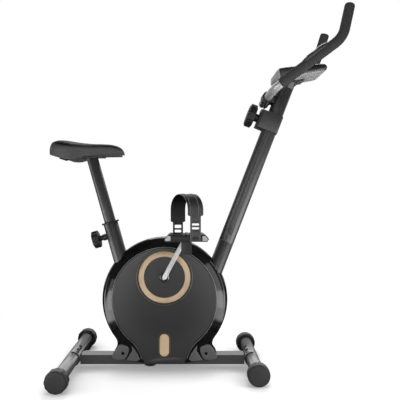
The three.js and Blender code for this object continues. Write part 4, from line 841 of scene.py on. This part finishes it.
def saddle_cushion():
    """A cover puffed over foam: the moulded form remeshed, blown out a little and smoothed."""
    mesh = frame["nodes"]["saddle_pad"].data.copy()
    mesh.materials.clear()
    cushion = link("saddle_cushion", mesh, VINYL)
    work = bmesh.new()
    work.from_mesh(mesh)
    bmesh.ops.remove_doubles(work, verts=work.verts, dist=0.01 * MM)
    work.normal_update()
    for vertex in work.verts:
        vertex.co -= vertex.normal * (CUSHION_INSET * MM)
    work.to_mesh(mesh)
    work.free()
    remesh = cushion.modifiers.new("even_mesh", "REMESH")
    remesh.mode = "VOXEL"
    remesh.voxel_size = CUSHION_MESH * MM
    remesh.use_smooth_shade = True
    even = cushion.modifiers.new("even_rim", "SMOOTH")
    even.iterations = RIM_SMOOTHING
    bake_modifiers(cushion)
    puff_up(cushion)
    smooth = cushion.modifiers.new("settle_surface", "CORRECTIVE_SMOOTH")
    smooth.iterations = COVER_SMOOTHING
    smooth.use_only_smooth = True
    finer = cushion.modifiers.new("finer", "SUBSURF")
    finer.levels = finer.render_levels = 1
    bake_modifiers(cushion)
    cushion.data.materials.clear()
    cushion.data.materials.append(VINYL)
    cushion.data.shade_smooth()
    note_facing(cushion.data)
    return cushion


def puff_up(cushion):
    """Blows the cover out by a few millimetres at most, with its underside held to the pan."""
    held = cushion.vertex_groups.new(name="held_to_pan")
    start = [vertex.co.copy() for vertex in cushion.data.vertices]
    low = {vertex.index for vertex in cushion.data.vertices if vertex.normal.z < -0.2}
    for _ in range(HELD_RINGS):
        low |= {i for edge in cushion.data.edges for i in edge.vertices
                if not low.isdisjoint(edge.vertices)}
    held.add(sorted(low), 1.0, "REPLACE")
    cloth = cushion.modifiers.new("cover", "CLOTH")
    cloth.settings.quality = 5
    cloth.settings.mass = 0.3
    cloth.settings.tension_stiffness = 40
    cloth.settings.compression_stiffness = 40
    cloth.settings.bending_stiffness = 8
    cloth.settings.use_pressure = True
    cloth.settings.uniform_pressure_force = 4
    cloth.settings.vertex_group_mass = held.name
    cloth.settings.effector_weights.gravity = 0
    cloth.point_cache.frame_start = 1
    cloth.point_cache.frame_end = PUFF_FRAMES
    for step in range(1, PUFF_FRAMES + 1):
        bpy.context.scene.frame_set(step)
    bake_modifiers(cushion)
    bpy.context.scene.frame_set(1)
    for vertex, before in zip(cushion.data.vertices, start):
        moved = vertex.co - before
        if moved.length > PUFF_REACH * MM:
            vertex.co = before + moved.normalized() * (PUFF_REACH * MM)


cushion = saddle_cushion()
stand_for(cushion, "saddle_pad")


# ------------------------------------------------------------------ stabiliser ends
REAR_X, REAR_SPAN, REAR_RADIUS = -366.0, 450.0, 34.0
FRONT_X, FRONT_SPAN, FRONT_RADIUS = 210.0, 346.0, 33.5


def rear_cap():
    profile = [
        (0, 0.9), (19.6, 0.9), (20.2, 0.3), (29.4, 0.3), (29.6, 3.2), (31.2, 3.2), (31.5, 1.2),
        (32.2, 1.3, 0.6), (33.1, 2.2, 0.9), (33.7, 4.0, 1.2),
        (34, 7.2, 1.4), (34, 26.6, 1.4), (33.4, 28.4, 1.4), (32.2, 29.2, 1.4), (29.8, 29.2),
        (29.4, 28.4), (29.4, 9.4), (18.6, 9.4), (18.6, 59), (0, 59),
    ]
    return turned("rear_cap_right_moulding", profile, at(REAR_X, -REAR_SPAN / 2, REAR_RADIUS),
                  Vector((0, 1, 0)), DARK, steps=144, angle=26, lobes=12)


def front_wheel():
    profile = [
        (0, 0.3), (29.2, 0.3), (29.4, 3.2), (31.1, 3.2), (31.4, 0.8), (32.0, 1.0, 0.4),
        (33.1, 2.4, 0.8), (33.5, 4.4, 0.8), (33.5, 25.4, 0.8),
        (32.8, 27.4, 0.8), (31.6, 28, 0.5), (29.8, 28), (29.4, 27.2), (29.4, 8.4), (18.6, 8.4),
        (18.6, 57.6), (0, 57.6),
    ]
    return turned("front_wheel_right_moulding", profile,
                  at(FRONT_X, -FRONT_SPAN / 2, FRONT_RADIUS), Vector((0, 1, 0)), DARK,
                  steps=224, angle=26, lobes=28)


mirrored_pair(rear_cap(), "rear_cap_right", "rear_cap_left")
mirrored_pair(front_wheel(), "front_wheel_right", "front_wheel_left")


# ------------------------------------------------------------------ knobs
def seat_knob():
    profile = [
        (0, 36.4), (8, 36.4), (9.2, 44.6), (23.8, 47.4), (26.6, 48.0, 2.4), (28, 50.4, 3.2),
        (28, 66.0, 3.2), (27.2, 68.2, 3.0), (25.0, 69.3, 2.2), (15.6, 69.3), (14.6, 68.2),
        (0, 68.2),
    ]
    across = on_axis(SEAT_TOP, SEAT_LEAN, 0, 1) - on_axis(SEAT_TOP, SEAT_LEAN, 0)
    return turned("seat_knob_moulding", profile, on_axis(SEAT_TOP, SEAT_LEAN, -38), across,
                  BLACK, steps=192, angle=30, lobes=6, pinch=3)


TENSION_ALONG = 345 / math.cos(MAST_LEAN)
TENSION_RIBS = 20


def tension_knob():
    across = on_axis(MAST_FOOT, MAST_LEAN, 0, 1) - on_axis(MAST_FOOT, MAST_LEAN, 0)
    origin = on_axis(MAST_FOOT, MAST_LEAN, TENSION_ALONG)
    core = turned("core", [
        (0, 30.8), (5.8, 30.8), (5.8, 50), (13, 50.2), (13, 60), (30.4, 60.4), (32.8, 62.0),
        (33.4, 65), (33.4, 82), (33.0, 84.2), (31.8, 85.6), (29.4, 86.2), (24.6, 86.2),
        (23.6, 85.2), (0, 84.4),
    ], origin, across, BLACK, steps=96)
    rib = bmesh.new()
    for x in (31.0, 38.0):
        half = 2.9 if x < 33 else 2.1
        for z in ((61.6, 85.0) if x < 33 else (63.6, 83.0)):
            for y in (-half, half):
                rib.verts.new((x * MM, y * MM, z * MM))
    bmesh.ops.convex_hull(rib, input=rib.verts)
    mesh = bpy.data.meshes.new("rib")
    rib.to_mesh(mesh)
    rib.free()
    ribs = grown("ribs", mesh, REPEAT, BLACK, placed_along(origin, across),
                 Count=TENSION_RIBS, Turn=TURN / TENSION_RIBS, Move=0.0)
    soften(ribs, 0.7, 2)
    return joined("tension_knob_moulding", core, ribs)


stand_for(seat_knob(), "seat_knob")
stand_for(tension_knob(), "tension_knob")


# ------------------------------------------------------------------ handlebar
BAR_RADIUS = 12.5
GRIP_RADIUS = 15.2
GRIP_FROM = 8
BAR_Z = 874.0
BAR_X = MAST_FOOT[0] + (BAR_Z - MAST_FOOT[1]) * math.tan(MAST_LEAN) - MAST_RADIUS - 23.6
BAR_FLAT = 88.0
CORNER = Vector((BAR_X, -144.0, BAR_Z))
ELBOW = Vector((BAR_X + 197, -152.0, BAR_Z + 146))
TIP = Vector((BAR_X + 224.5, -130.0, BAR_Z + 246))


def toward(start, end, reach):
    return start + (end - start).normalized() * reach


def bent(start, corner, end, steps=14):
    """Points round a bend, without its first."""
    points = []
    for i in range(1, steps + 1):
        t = i / steps
        points.append(start * (1 - t) ** 2 + corner * (2 * t * (1 - t)) + end * t ** 2)
    return points


RISE_START = toward(CORNER, ELBOW, 58)
RISE_END = toward(ELBOW, CORNER, 30)
HORN_START = toward(ELBOW, TIP, 30)
FLAT_END = Vector((BAR_X, -BAR_FLAT, BAR_Z))
LOWER_BEND = bent(FLAT_END, CORNER, RISE_START)
UPPER_BEND = bent(RISE_END, ELBOW, HORN_START)
ARM = [FLAT_END, *LOWER_BEND, RISE_END, *UPPER_BEND, TIP]


def drawn(points):
    return [at(*point) for point in points]


def handlebar_tube():
    left = [Vector((p.x, -p.y, p.z)) for p in reversed(ARM)]
    return pipe("handlebar_tube", drawn(left + ARM), BAR_RADIUS, BAR_PAINT)


def sleeve(name, line, radii, finish, sides=48):
    """A skin of varying radius along a line of drawing points."""
    right = Vector((0, 0, 1))
    rings = []
    for i, point in enumerate(line):
        ahead = (line[min(i + 1, len(line) - 1)] - line[max(i - 1, 0)]).normalized()
        right = (right - ahead * right.dot(ahead)).normalized()
        up = ahead.cross(right)
        rings.append([at(*(point + (right * math.cos(a) + up * math.sin(a)) * radii[i]))
                      for a in (TURN * k / sides for k in range(sides))])
    return lofted(name, rings, finish, angle=50)


def grip():
    start = LOWER_BEND[GRIP_FROM:]
    lead = [toward(start[0], start[1], reach) for reach in (0.0, 0.4, 1.4)]
    body = [*start[1:], *(RISE_START.lerp(RISE_END, i / 12) for i in range(1, 12)), RISE_END,
            *UPPER_BEND, *(HORN_START.lerp(TIP, i / 6) for i in range(1, 7))]
    ahead = (TIP - HORN_START).normalized()
    dome = [(0.8, 0.995), (2.7, 0.97), (4.6, 0.90), (6.1, 0.78), (7.1, 0.60), (7.7, 0.36)]
    line = lead + body + [TIP + ahead * reach for reach, _ in dome]
    radii = [BAR_RADIUS + 0.2, GRIP_RADIUS - 0.9, GRIP_RADIUS] + [GRIP_RADIUS] * len(body)
    radii += [GRIP_RADIUS * share for _, share in dome]
    return sleeve("grip_right_sleeve", line, radii, FOAM)


def arc_plate(name, start, end, shape, spread, finish, low=15.6):
    """A curved plate on the grip's straight rise: shape is (share along, height) pairs."""
    foot, top = RISE_START.lerp(RISE_END, start), RISE_START.lerp(RISE_END, end)
    ahead = (top - foot).normalized()
    out = Vector((-ahead.z, 0, ahead.x)).normalized()
    across = ahead.cross(out)
    steps = 28
    rings = []
    for share, height in shape:
        centre = foot.lerp(top, share)
        ring = []
        for i in range(steps + 1):
            turn = math.radians(spread) * (2 * i / steps - 1)
            edge = min(1, 6 * min(i, steps - i) / steps + 0.35)
            reach = low + height * edge
            ring.append(centre + out * (reach * math.cos(turn)) + across * (reach * math.sin(turn)))
        for i in range(steps, -1, -1):
            turn = math.radians(spread) * (2 * i / steps - 1)
            ring.append(centre + out * (low * math.cos(turn)) + across * (low * math.sin(turn)))
        rings.append(drawn(ring))
    return lofted(name, rings, finish, angle=40)


def pulse_sensor():
    shape = [(0, 1.0), (0.02, 2.0), (0.08, 3.4), (0.2, 4.7), (0.5, 5.2), (0.8, 4.7), (0.92, 3.4),
             (0.98, 2.0), (1, 1.0)]
    plate = [(0, 0.2), (0.04, 0.8), (0.5, 0.9), (0.96, 0.8), (1, 0.2)]
    base = arc_plate("base", 0.34, 0.90, shape, 62, DARK)
    plates = [arc_plate("plate", a, b, plate, 40, CONTACT, low=20.2) for a, b in
              ((0.44, 0.60), (0.64, 0.80))]
    return joined("pulse_sensor_right_unit", base, *plates)


stand_for(handlebar_tube(), "handlebar")
mirrored_pair(grip(), "grip_right", "grip_left")
mirrored_pair(pulse_sensor(), "pulse_sensor_right", "pulse_sensor_left")


# ------------------------------------------------------------------ pedal straps
CRANK_AHEAD = Vector((math.sin(CRANK_ANGLE), 0, math.cos(CRANK_ANGLE)))
CRANK_END = Vector((DRIVE_X, 0, CRANK_Z)) + CRANK_AHEAD * CRANK_LENGTH
PEDAL_CENTRE = CRANK_END - Vector((0, PEDAL_Y, 0))
STRAP_REACH = 46.4
STRAP_HALF = 1.1
STRAP_ARCH = 80.5
STRAP_FOOT = -10.0
STRAP_TALL = STRAP_ARCH + STRAP_REACH
STRAP_SKEW = 26.0
STRAP_WIDE = 45.0
STRAP_NARROW = 31.0


def strap_section(wide, ribbed):
    """Half the section's outline round the strap: (across, out) pairs from edge to edge."""
    half = wide / 2
    top = [(-half, 0.3), (-half + 0.8, STRAP_HALF)]
    for rib in (-0.26, 0.26):
        middle_of_rib = rib * wide
        for step, rise in ((-3.2, 0), (-2.0, 0.9), (2.0, 0.9), (3.2, 0)):
            top.append((middle_of_rib + step, STRAP_HALF + rise * ribbed))
    top += [(half - 0.8, STRAP_HALF), (half, 0.3)]
    return top + [(half, -0.3), (half - 0.8, -STRAP_HALF), (0, -STRAP_HALF),
                  (0.8 - half, -STRAP_HALF), (-half, -0.3)]


def strap():
    def leg(y, shoulder):
        rises = [STRAP_FOOT, shoulder - 4, shoulder - 3, shoulder - 1.2, shoulder, shoulder + 2,
                 max(STRAP_ARCH - 3, shoulder + 3)]
        wides = [0, 0, 0.1, 0.8, 1, 1, 1]
        return [(y, z, share) for z, share in zip(rises, wides)]

    arch = [(-STRAP_REACH * math.cos(math.pi * i / 40),
             STRAP_ARCH + STRAP_REACH * math.sin(math.pi * i / 40), 1) for i in range(41)]
    line = leg(-STRAP_REACH, 67) + arch + leg(STRAP_REACH, 45)[::-1]
    rings = []
    for i, (y, z, share) in enumerate(line):
        before, after = line[max(i - 1, 0)], line[min(i + 1, len(line) - 1)]
        run = Vector((0, after[0] - before[0], after[1] - before[1])).normalized()
        out = Vector((0, -run.z, run.y))
        wide = STRAP_NARROW + (STRAP_WIDE - STRAP_NARROW) * share
        spot = PEDAL_CENTRE + Vector((-STRAP_SKEW * y / STRAP_REACH, y, z))
        rings.append(drawn([spot + Vector((a, 0, 0)) + out * b
                            for a, b in strap_section(wide, max(0, 2 * share - 1))]))
    mesh = mesh_from("strap", *skin(rings), 28)
    band = link("strap_right_band", mesh, STRAP, STRAP_INSIDE_SHADE, STRAP_EDGE_HIGHLIGHT)
    # the rise drives the painted shade that darkens the strap towards its top
    rise = mesh.attributes.new(STRAP_RISE, "FLOAT", "POINT")
    rise.data.foreach_set("value", [(vertex.co.z / MM - PEDAL_CENTRE.z) / STRAP_TALL
                                    for vertex in mesh.vertices])
    # inside faces get the painted shade, and the rearward edges of the outer leg get the painted
    # highlight
    for face in mesh.polygons:
        towards_foot = face.center - at(*(PEDAL_CENTRE + Vector((0, 0, 40))))
        towards_foot.x = 0
        face.material_index = int(face.normal.dot(towards_foot) < -0.3 * towards_foot.length)
        if face.normal.x < -0.5 and towards_foot.y < 0.01:
            face.material_index = 2
    slots = [(-1, 0, 9.3, 2), (-1, 29, 10, 3), (-1, 40, 10, 3), (1, 0, 9.3, 2), (1, 15, 10, 4),
             (1, 29, 10, 5)]
    cutters = []
    for sign, z, half_wide, half_high in slots:
        spot = PEDAL_CENTRE + Vector((-sign * STRAP_SKEW, sign * STRAP_REACH, z))
        hole = plain_box(at(spot.x - half_wide, spot.y - 4, spot.z - half_high),
                         at(spot.x + half_wide, spot.y + 4, spot.z + half_high))
        soften(hole, min(1.8, half_high * 0.6), 3)
        cutters.append(hole)
    return carve(band, *cutters)


def on_left_pedal(thing, name):
    """A piece of the left pedal: mirrored, and set on the opposite crank."""
    other = mirrored(thing, name)
    other.data.transform(Matrix.Translation(CRANK_AHEAD * (-2 * CRANK_LENGTH * MM)))
    return other


def pedal_reflectors():
    """The pale wedges at both ends of the pedal, on each of its long sides."""
    wedges = []
    for end in (-1, 1):
        for face in (-1, 1):
            outline = [(62.6, -4.5), (54.5, 6.4), (46, 6.4), (46, -7.5), (59, -7.5)]
            rings = [drawn([PEDAL_CENTRE + Vector((end * x, face * y, z)) for x, z in outline])
                     for y in (44.0, 45.5)]
            wedges.append(soften(lofted("wedge", rings, REFLECTOR), 0.4, 2))
    return joined("pedal_right_reflectors", *wedges)


right_reflectors = pedal_reflectors()
left_reflectors = on_left_pedal(right_reflectors, "pedal_left_reflectors")
settle(right_reflectors, "right_pedal", "black_plastic")
settle(left_reflectors, "left_pedal", "black_plastic")
right_strap = strap()
left_strap = on_left_pedal(right_strap, "strap_left_band")
stand_for(right_strap, "strap_right")
stand_for(left_strap, "strap_left")


# ------------------------------------------------------------------ cranks
def crank():
    """A flat arm that cranes outward to the pedal, on a dark boss with a bright rim."""
    across = Vector((CRANK_AHEAD.z, 0, -CRANK_AHEAD.x))
    rings = []
    for share in (i / 24 for i in range(25)):
        along = -6.5 + (CRANK_LENGTH + 13) * share
        wide = 7.4 - share
        tuck = min(along + 6.6, CRANK_LENGTH + 6.6 - along)
        if tuck < wide:
            wide *= math.sqrt(max(0.04, 1 - (1 - tuck / wide) ** 2))
        sway = min(1, max(0, (share - 0.12) / 0.7))
        y = -63.5 - 14.5 * sway ** 2 * (3 - 2 * sway)
        spot = Vector((DRIVE_X, y, CRANK_Z)) + CRANK_AHEAD * along
        half = [(wide, 4.2), (wide, -4.0), (wide - 1.2, -5.4)]
        outline = half + [(-a, b) for a, b in reversed(half)]
        rings.append(drawn([spot + across * a + Vector((0, b, 0)) for a, b in outline]))
    arm = lofted("arm", rings, CRANK_STEEL, angle=35)
    soften(arm, 0.5, 2)
    boss = turned("boss", [(0, 54), (9.6, 54), (10.4, 55), (10.4, 65.4), (9.4, 66.4), (0, 66.4)],
                  at(DRIVE_X, 0, CRANK_Z), Vector((0, -1, 0)), BLACK, steps=64)
    eye = turned("eye", [(0, 70), (10, 70), (10.8, 71), (10.8, 83), (10, 84), (0, 84)],
                 at(*CRANK_END), Vector((0, -1, 0)), ZINC, steps=64)
    spindle = turned("spindle", [(0, 83), (6, 83), (6, 170), (0, 170)], at(*CRANK_END),
                     Vector((0, -1, 0)), ZINC, steps=40)
    return joined("crank_right_arm", arm, boss, eye, spindle)


def half_turned(thing, name):
    """The mirror image of a crank's piece, swung half a turn about the crank axle."""
    other = mirrored(thing, name)
    axle = at(DRIVE_X, 0, CRANK_Z)
    spin = Matrix.Rotation(math.pi, 4, "Y")
    other.data.transform(Matrix.Translation(axle) @ spin @ Matrix.Translation(-axle))
    return other


def dust_collars():
    """The dark collar in each cover's hole, with a fine bright rim."""
    rims = []
    for sign in (-1, 1):
        out = Vector((0, sign, 0))
        rims += [turned("collar", [(0, 46), (12.9, 46), (12.9, 52.6), (12.2, 53.4), (0, 53.4)],
                        at(DRIVE_X, 0, CRANK_Z), out, BLACK, steps=64),
                 turned("rim", [(12.9, 46), (13.9, 46), (13.9, 53.2), (13.4, 53.7), (12.9, 53.2)],
                        at(DRIVE_X, 0, CRANK_Z), out, ZINC, steps=64)]
    rims.append(turned("axle", [(0, -46), (10, -46), (10, 46), (0, 46)],
                       at(DRIVE_X, 0, CRANK_Z), Vector((0, 1, 0)), ZINC, steps=48))
    return joined("crank_axle_and_collars", *rims)


right_crank = crank()
left_crank = half_turned(right_crank, "crank_left_arm")
stand_for(right_crank, "crank_right")
stand_for(left_crank, "crank_left")
stand_for(dust_collars(), "crank_axle")


def crank_cover():
    """The disc round the crank axle, grooved for its gold ring."""
    profile = [
        (15.5, 0), (80.7, 0), (80.7, -4), (83.7, -4), (83.7, 0), (90, 0), (90, 1.6), (89.4, 2.6),
        (88.2, 3.2), (81.8, 3.2), (81.8, 1.8), (64.7, 1.8), (64.7, 3.2), (16.3, 3.2), (15.5, 2.6),
    ]
    return turned("crank_cover_right_disc", profile, at(DRIVE_X, -SHELL_HALF - GAP, CRANK_Z),
                  Vector((0, -1, 0)), COVER, steps=160, angle=24)


mirrored_pair(crank_cover(), "crank_cover_right", "crank_cover_left")


# ------------------------------------------------------------------ screws
def cross_head():
    """A domed screw head on the Z axis with a cross recess."""
    head = turned("head", [(0, -1), (3.9, -1), (3.9, 0.3), (3.4, 1.0), (2.2, 1.6), (0, 1.8)],
                  Vector((0, 0, 0)), Vector((0, 0, 1)), BOLT, steps=40)
    for a, b in ((2.4, 0.5), (0.5, 2.4)):
        carve(head, plain_box(Vector((-a, -b, 0.6)) * MM, Vector((a, b, 3)) * MM))
    mesh = head.data
    bpy.data.objects.remove(head)
    return mesh


def screw_row(name, first, step, count):
    """Screws along X from a first drawing point on the right side."""
    place = Matrix.Translation(at(*first)) @ Matrix.Rotation(math.pi / 2, 4, "X")
    return grown(name, cross_head(), REPEAT, BOLT, place, Count=count, Turn=0.0,
                 Move=step * MM)


def fine_lines():
    """Thin lines: gold round the cover's rim and the slot, and a painted highlight in light grey
    along the panel's rim.
    """
    y = -SHELL_HALF - GAP
    rim = [at(DRIVE_X + 88.2 * math.cos(a), y - 3.1, CRANK_Z + 88.2 * math.sin(a))
           for a in (TURN * i / 120 for i in range(121))]
    slot = slot_line(18.4, y)
    slot.append(slot[0])
    panel_edge = panel_ring(-46.6, -2.6)
    edge = panel_edge[-LEG_STEPS:] + panel_edge[:ARC_STEPS + LEG_STEPS + 1]
    right = joined("fine_lines_right", pipe("rim", rim, 0.45, LINE, 8),
                   pipe("slot", slot, 0.4, LINE, 8), pipe("edge", edge, 0.7, PANEL_RIM_HIGHLIGHT, 8))
    settle(mirrored(right, "fine_lines_left"), "frame", "gold_trim")
    settle(right, "frame", "gold_trim")


def add_screws():
    right = screw_row("screws_right", (SHELL_X - SCREW_SPREAD, -25.4, SCREW_Z),
                      2 * SCREW_SPREAD, 2)
    left = mirrored(right, "screws_left")
    for row in (right, left):
        settle(row, "frame", "hardware")


HEAD_TILT = 1.0       # radians


def bracket_seams():
    """The dark seams where the brackets' plates end on the tubes, and their screw heads."""
    things = []
    for x, z, towards in ((REAR_X, REAR_RADIUS, 1), (FRONT_X, FRONT_RADIUS, -1)):
        for y in (-26.4, 26.4):
            arc = [at(x + towards * 22.6 * math.cos(a), y, z + 22.6 * math.sin(a))
                   for a in (math.radians(-55 + 7.5 * i) for i in range(21))]
            things.append(pipe("seam", arc, 1.5, FOOT, 10))
        for y in (-17, 17):
            out = Vector((towards * math.cos(HEAD_TILT), 0, math.sin(HEAD_TILT)))
            things.append(turned("head", [(0, 30), (5.6, 30), (5.6, 34), (4.6, 35.4), (0, 35.4)],
                                 at(x, y, z), out, FOOT, steps=6))
    settle(joined("bracket_seams", *things), "frame", "hardware")


add_screws()
fine_lines()
bracket_seams()

# ------------------------------------------------------------------ nodes that keep their shape
PAN_LONG, PAN_WIDE = 0.985, 0.93
PAN_RISE = 4.0
REFINED = {
    SHINY_COAT: ["main_rail"],
    TUBE_GLOSS: ["rear_stabiliser", "front_stabiliser", "rear_bracket", "front_bracket"],
    COAT: ["seat_tube", "seat_post", "saddle_clamp", "mast_stub", "handlebar_post",
           "console_bracket"],
    BLACK: ["pedal_right", "pedal_left", "seat_collar", "saddle_pan", "console_button",
            "handlebar_clamp"],
    DARK: ["tension_housing"],
    CASE: ["console_case"],
    PALE: ["console_base"],
    FOOT: ["rear_foot_right", "rear_foot_left", "front_foot_right", "front_foot_left",
           "centre_foot"],
    GOLD: ["shell_inlay_right", "shell_inlay_left"],
    RING_GOLD: ["cover_ring_right", "cover_ring_left"],
    BOLT: ["post_bolt", "clamp_bolt"],
    GLASS: ["console_lens"],
}
for finish, nodes in REFINED.items():
    for node in nodes:
        piece = refined(node, finish)
        # the tubes' painted highlight and shade follow how far they face up
        if finish is TUBE_GLOSS:
            note_facing(piece.data)


def fit_pan(mesh):
    """Sets the pan's rim just inside the cover's lower edge and up into it, and draws the
    cover down over the pan's front half."""
    centre = middle("saddle_pan")
    top = max(vertex.co.z for vertex in mesh.vertices)
    for vertex in mesh.vertices:
        vertex.co.x = centre.x + (vertex.co.x - centre.x) * PAN_LONG
        vertex.co.y *= PAN_WIDE
        if vertex.co.z > top - 2 * MM:
            vertex.co.z += PAN_RISE * MM
    mesh.materials.append(VINYL)
    for face in mesh.polygons:
        if face.center.x > centre.x and face.normal.z < 0.7:
            face.material_index = 1


fit_pan(bpy.data.objects["saddle_pan_finished"].data)

KEPT = {
    COAT: ["inner_frame", "magnet_arm"],
    BOLT: ["seat_pin"],
    BLACK: ["drive_pulley"],
    IRON: ["flywheel"],
    FOOT: ["drive_belt"],
}
for finish, nodes in KEPT.items():
    for node in nodes:
        frame["nodes"][node].data.materials.clear()
        frame["nodes"][node].data.materials.append(finish)

# ------------------------------------------------------------------ floor, light and camera
AMBIENT = 0.22
FRONT_DARK = 0.12
FLOOR_GLOW = 0.56
FLOOR_MIRRORED = 0.12
FLOOR_BESIDE = 4.5
FLOOR_REACH = 8000.0
SHADOW_REACH = 0.11
SHADOW_DEPTH = 0.5
CAMERA_BACK = 1550.0
CAMERA_HEIGHT = 547.0
WHITE = (1, 1, 1, 1)


def plugged(owner, kind, sources, settings=None, **sockets):
    """A shader node with its first inputs fed by other nodes' outputs."""
    node = add_node(owner, kind, settings, **sockets)
    for socket, source in zip(node.inputs, sources):
        owner.node_tree.links.new(source, socket)
    return node


def spread_between(owner, source, near, far, low=0.0, high=1.0, curve="SMOOTHSTEP"):
    """Runs from low to high as the source goes from near to far."""
    spread = plugged(owner, "ShaderNodeMapRange", [source], {"interpolation_type": curve},
                     From_Min=near, From_Max=far, To_Min=low, To_Max=high)
    return spread.outputs["Result"]


def mixed(owner, share, first, second):
    return plugged(owner, "ShaderNodeMixShader", [share, first, second]).outputs["Shader"]


def glowing(owner, strength):
    return add_node(owner, "ShaderNodeEmission", Strength=strength).outputs["Emission"]


def studio_rays(owner):
    """The camera's rays, and those of mirrors and glass that see the studio too."""
    path = add_node(owner, "ShaderNodeLightPath").outputs
    mirror = arithmetic(owner.node_tree, "MAXIMUM", path["Is Glossy Ray"],
                        path["Is Transmission Ray"])
    return path["Is Camera Ray"], mirror


def studio_world():
    """White to the camera, and in reflections white behind and above but dark in front."""
    world = bpy.data.worlds.new("studio_world")
    world.use_nodes = True
    tree = world.node_tree
    ambient = tree.nodes["Background"]
    ambient.inputs["Color"].default_value = WHITE
    ambient.inputs["Strength"].default_value = AMBIENT
    seen = add_node(world, "ShaderNodeBackground", Color=WHITE)
    direction = add_node(world, "ShaderNodeTexCoord").outputs["Generated"]
    split = plugged(world, "ShaderNodeSeparateXYZ", [direction])
    behind = spread_between(world, split.outputs["Y"], 0.35, 0.75, low=FRONT_DARK)
    camera_ray, mirror_ray = studio_rays(world)
    tree.links.new(arithmetic(tree, "MAXIMUM", camera_ray, behind), seen.inputs["Strength"])
    surface = mixed(world, arithmetic(tree, "MAXIMUM", camera_ray, mirror_ray),
                    ambient.outputs["Background"], seen.outputs["Background"])
    tree.links.new(surface, tree.nodes["World Output"].inputs["Surface"])
    bpy.context.scene.world = world


def lit_paper(material, paper, place):
    """What the camera sees of the floor: white far away, and near by white paper with a soft
    contact shadow."""
    glow = glowing(material, FLOOR_GLOW)
    near = plugged(material, "ShaderNodeAddShader", [paper, glow]).outputs["Shader"]
    distance = plugged(material, "ShaderNodeVectorMath", [place], {"operation": "LENGTH"})
    far = spread_between(material, distance.outputs["Value"], 0.55, 1.1)
    unshaded = mixed(material, far, near, glowing(material, 1.0))
    contact = add_node(material, "ShaderNodeAmbientOcclusion", {"samples": 8},
                       Distance=SHADOW_REACH)
    depth = spread_between(material, contact.outputs["AO"], 0.45, 1.0, low=SHADOW_DEPTH,
                           curve="LINEAR")
    return mixed(material, depth, glowing(material, 0.0), unshaded)


def mirrored_paper(material, place):
    """What glossy pieces see of the floor: dark under the bike, bright beside its shell."""
    tree = material.node_tree
    split = plugged(material, "ShaderNodeSeparateXYZ", [place])
    aside = arithmetic(tree, "SUBTRACT", split.outputs["X"], SHELL_X * MM + SHIFT)
    beside = spread_between(material, arithmetic(tree, "ABSOLUTE", aside, 0.0), 0.39, 0.45,
                            low=FLOOR_MIRRORED, high=FLOOR_BESIDE)
    in_front = spread_between(material, split.outputs["Y"], 0.18, 0.04)
    glow = add_node(material, "ShaderNodeEmission")
    tree.links.new(arithmetic(tree, "MULTIPLY", beside, in_front), glow.inputs["Strength"])
    return glow.outputs["Emission"]


def studio_floor():
    mesh = bpy.data.meshes.new("studio_floor")
    mesh.from_pydata([at(x * FLOOR_REACH, y * FLOOR_REACH, -0.5) for x, y in
                      ((-1, -1), (1, -1), (1, 1), (-1, 1))], [], [(0, 1, 2, 3)])
    material = new_finish("studio_paper", 1.0, specular=0.0)
    nodes = material.node_tree.nodes
    nodes["Principled BSDF"].inputs["Base Color"].default_value = (0.8, 0.8, 0.8, 1)
    paper = nodes["Principled BSDF"].outputs["BSDF"]
    place = add_node(material, "ShaderNodeTexCoord").outputs["Object"]
    camera_ray, mirror_ray = studio_rays(material)
    seen = mixed(material, camera_ray, paper, lit_paper(material, paper, place))
    surface = mixed(material, mirror_ray, seen, mirrored_paper(material, place))
    material.node_tree.links.new(surface, nodes["Material Output"].inputs["Surface"])
    link("studio_floor", mesh, material)


def softbox(name, place, target, width, height, power):
    """A lamp of a width and height in metres that faces its target."""
    light = bpy.data.lights.new(name, "AREA")
    light.shape = "RECTANGLE"
    light.size = width
    light.size_y = height
    light.energy = power
    lamp = bpy.data.objects.new(name, light)
    lamp.location = place
    lamp.visible_camera = False
    aim = Vector(target) - Vector(place)
    lamp.rotation_euler = aim.to_track_quat("-Z", "Y").to_euler()
    bpy.context.scene.collection.objects.link(lamp)


def studio_camera():
    """Square on to the bike's right side."""
    lens = bpy.data.cameras.new("studio_camera")
    lens.lens = 42.9
    lens.sensor_width = 36
    lens.shift_x = 0.03325
    lens.shift_y = -0.00325
    camera = bpy.data.objects.new("studio_camera", lens)
    camera.location = at(0, -CAMERA_BACK, CAMERA_HEIGHT)
    camera.rotation_euler = (math.pi / 2, 0, 0)
    bpy.context.scene.collection.objects.link(camera)
    bpy.context.scene.camera = camera


studio_world()
studio_floor()
softbox("top_softbox", (0.1, 1.5, 2.3), (0, 0, 0.4), 2.0, 1.2, 30)
softbox("right_softbox", (0.62, -0.34, 0.36), (0.05, -0.34, 0.36), 0.64, 0.72, 3.9)
softbox("left_softbox", (-0.76, -0.34, 0.19), (-0.2, -0.34, 0.19), 0.64, 0.38, 1.3)
softbox("crank_softbox", (0.9, -1.9, 1.3), (0.0, -0.1, 0.4), 0.9, 0.9, 4)
softbox("front_softbox", (-0.4, -2.6, 1.0), (0, 0, 0.5), 1.8, 1.4, 24)

studio_camera()
bpy.context.scene.view_settings.view_transform = "Standard"
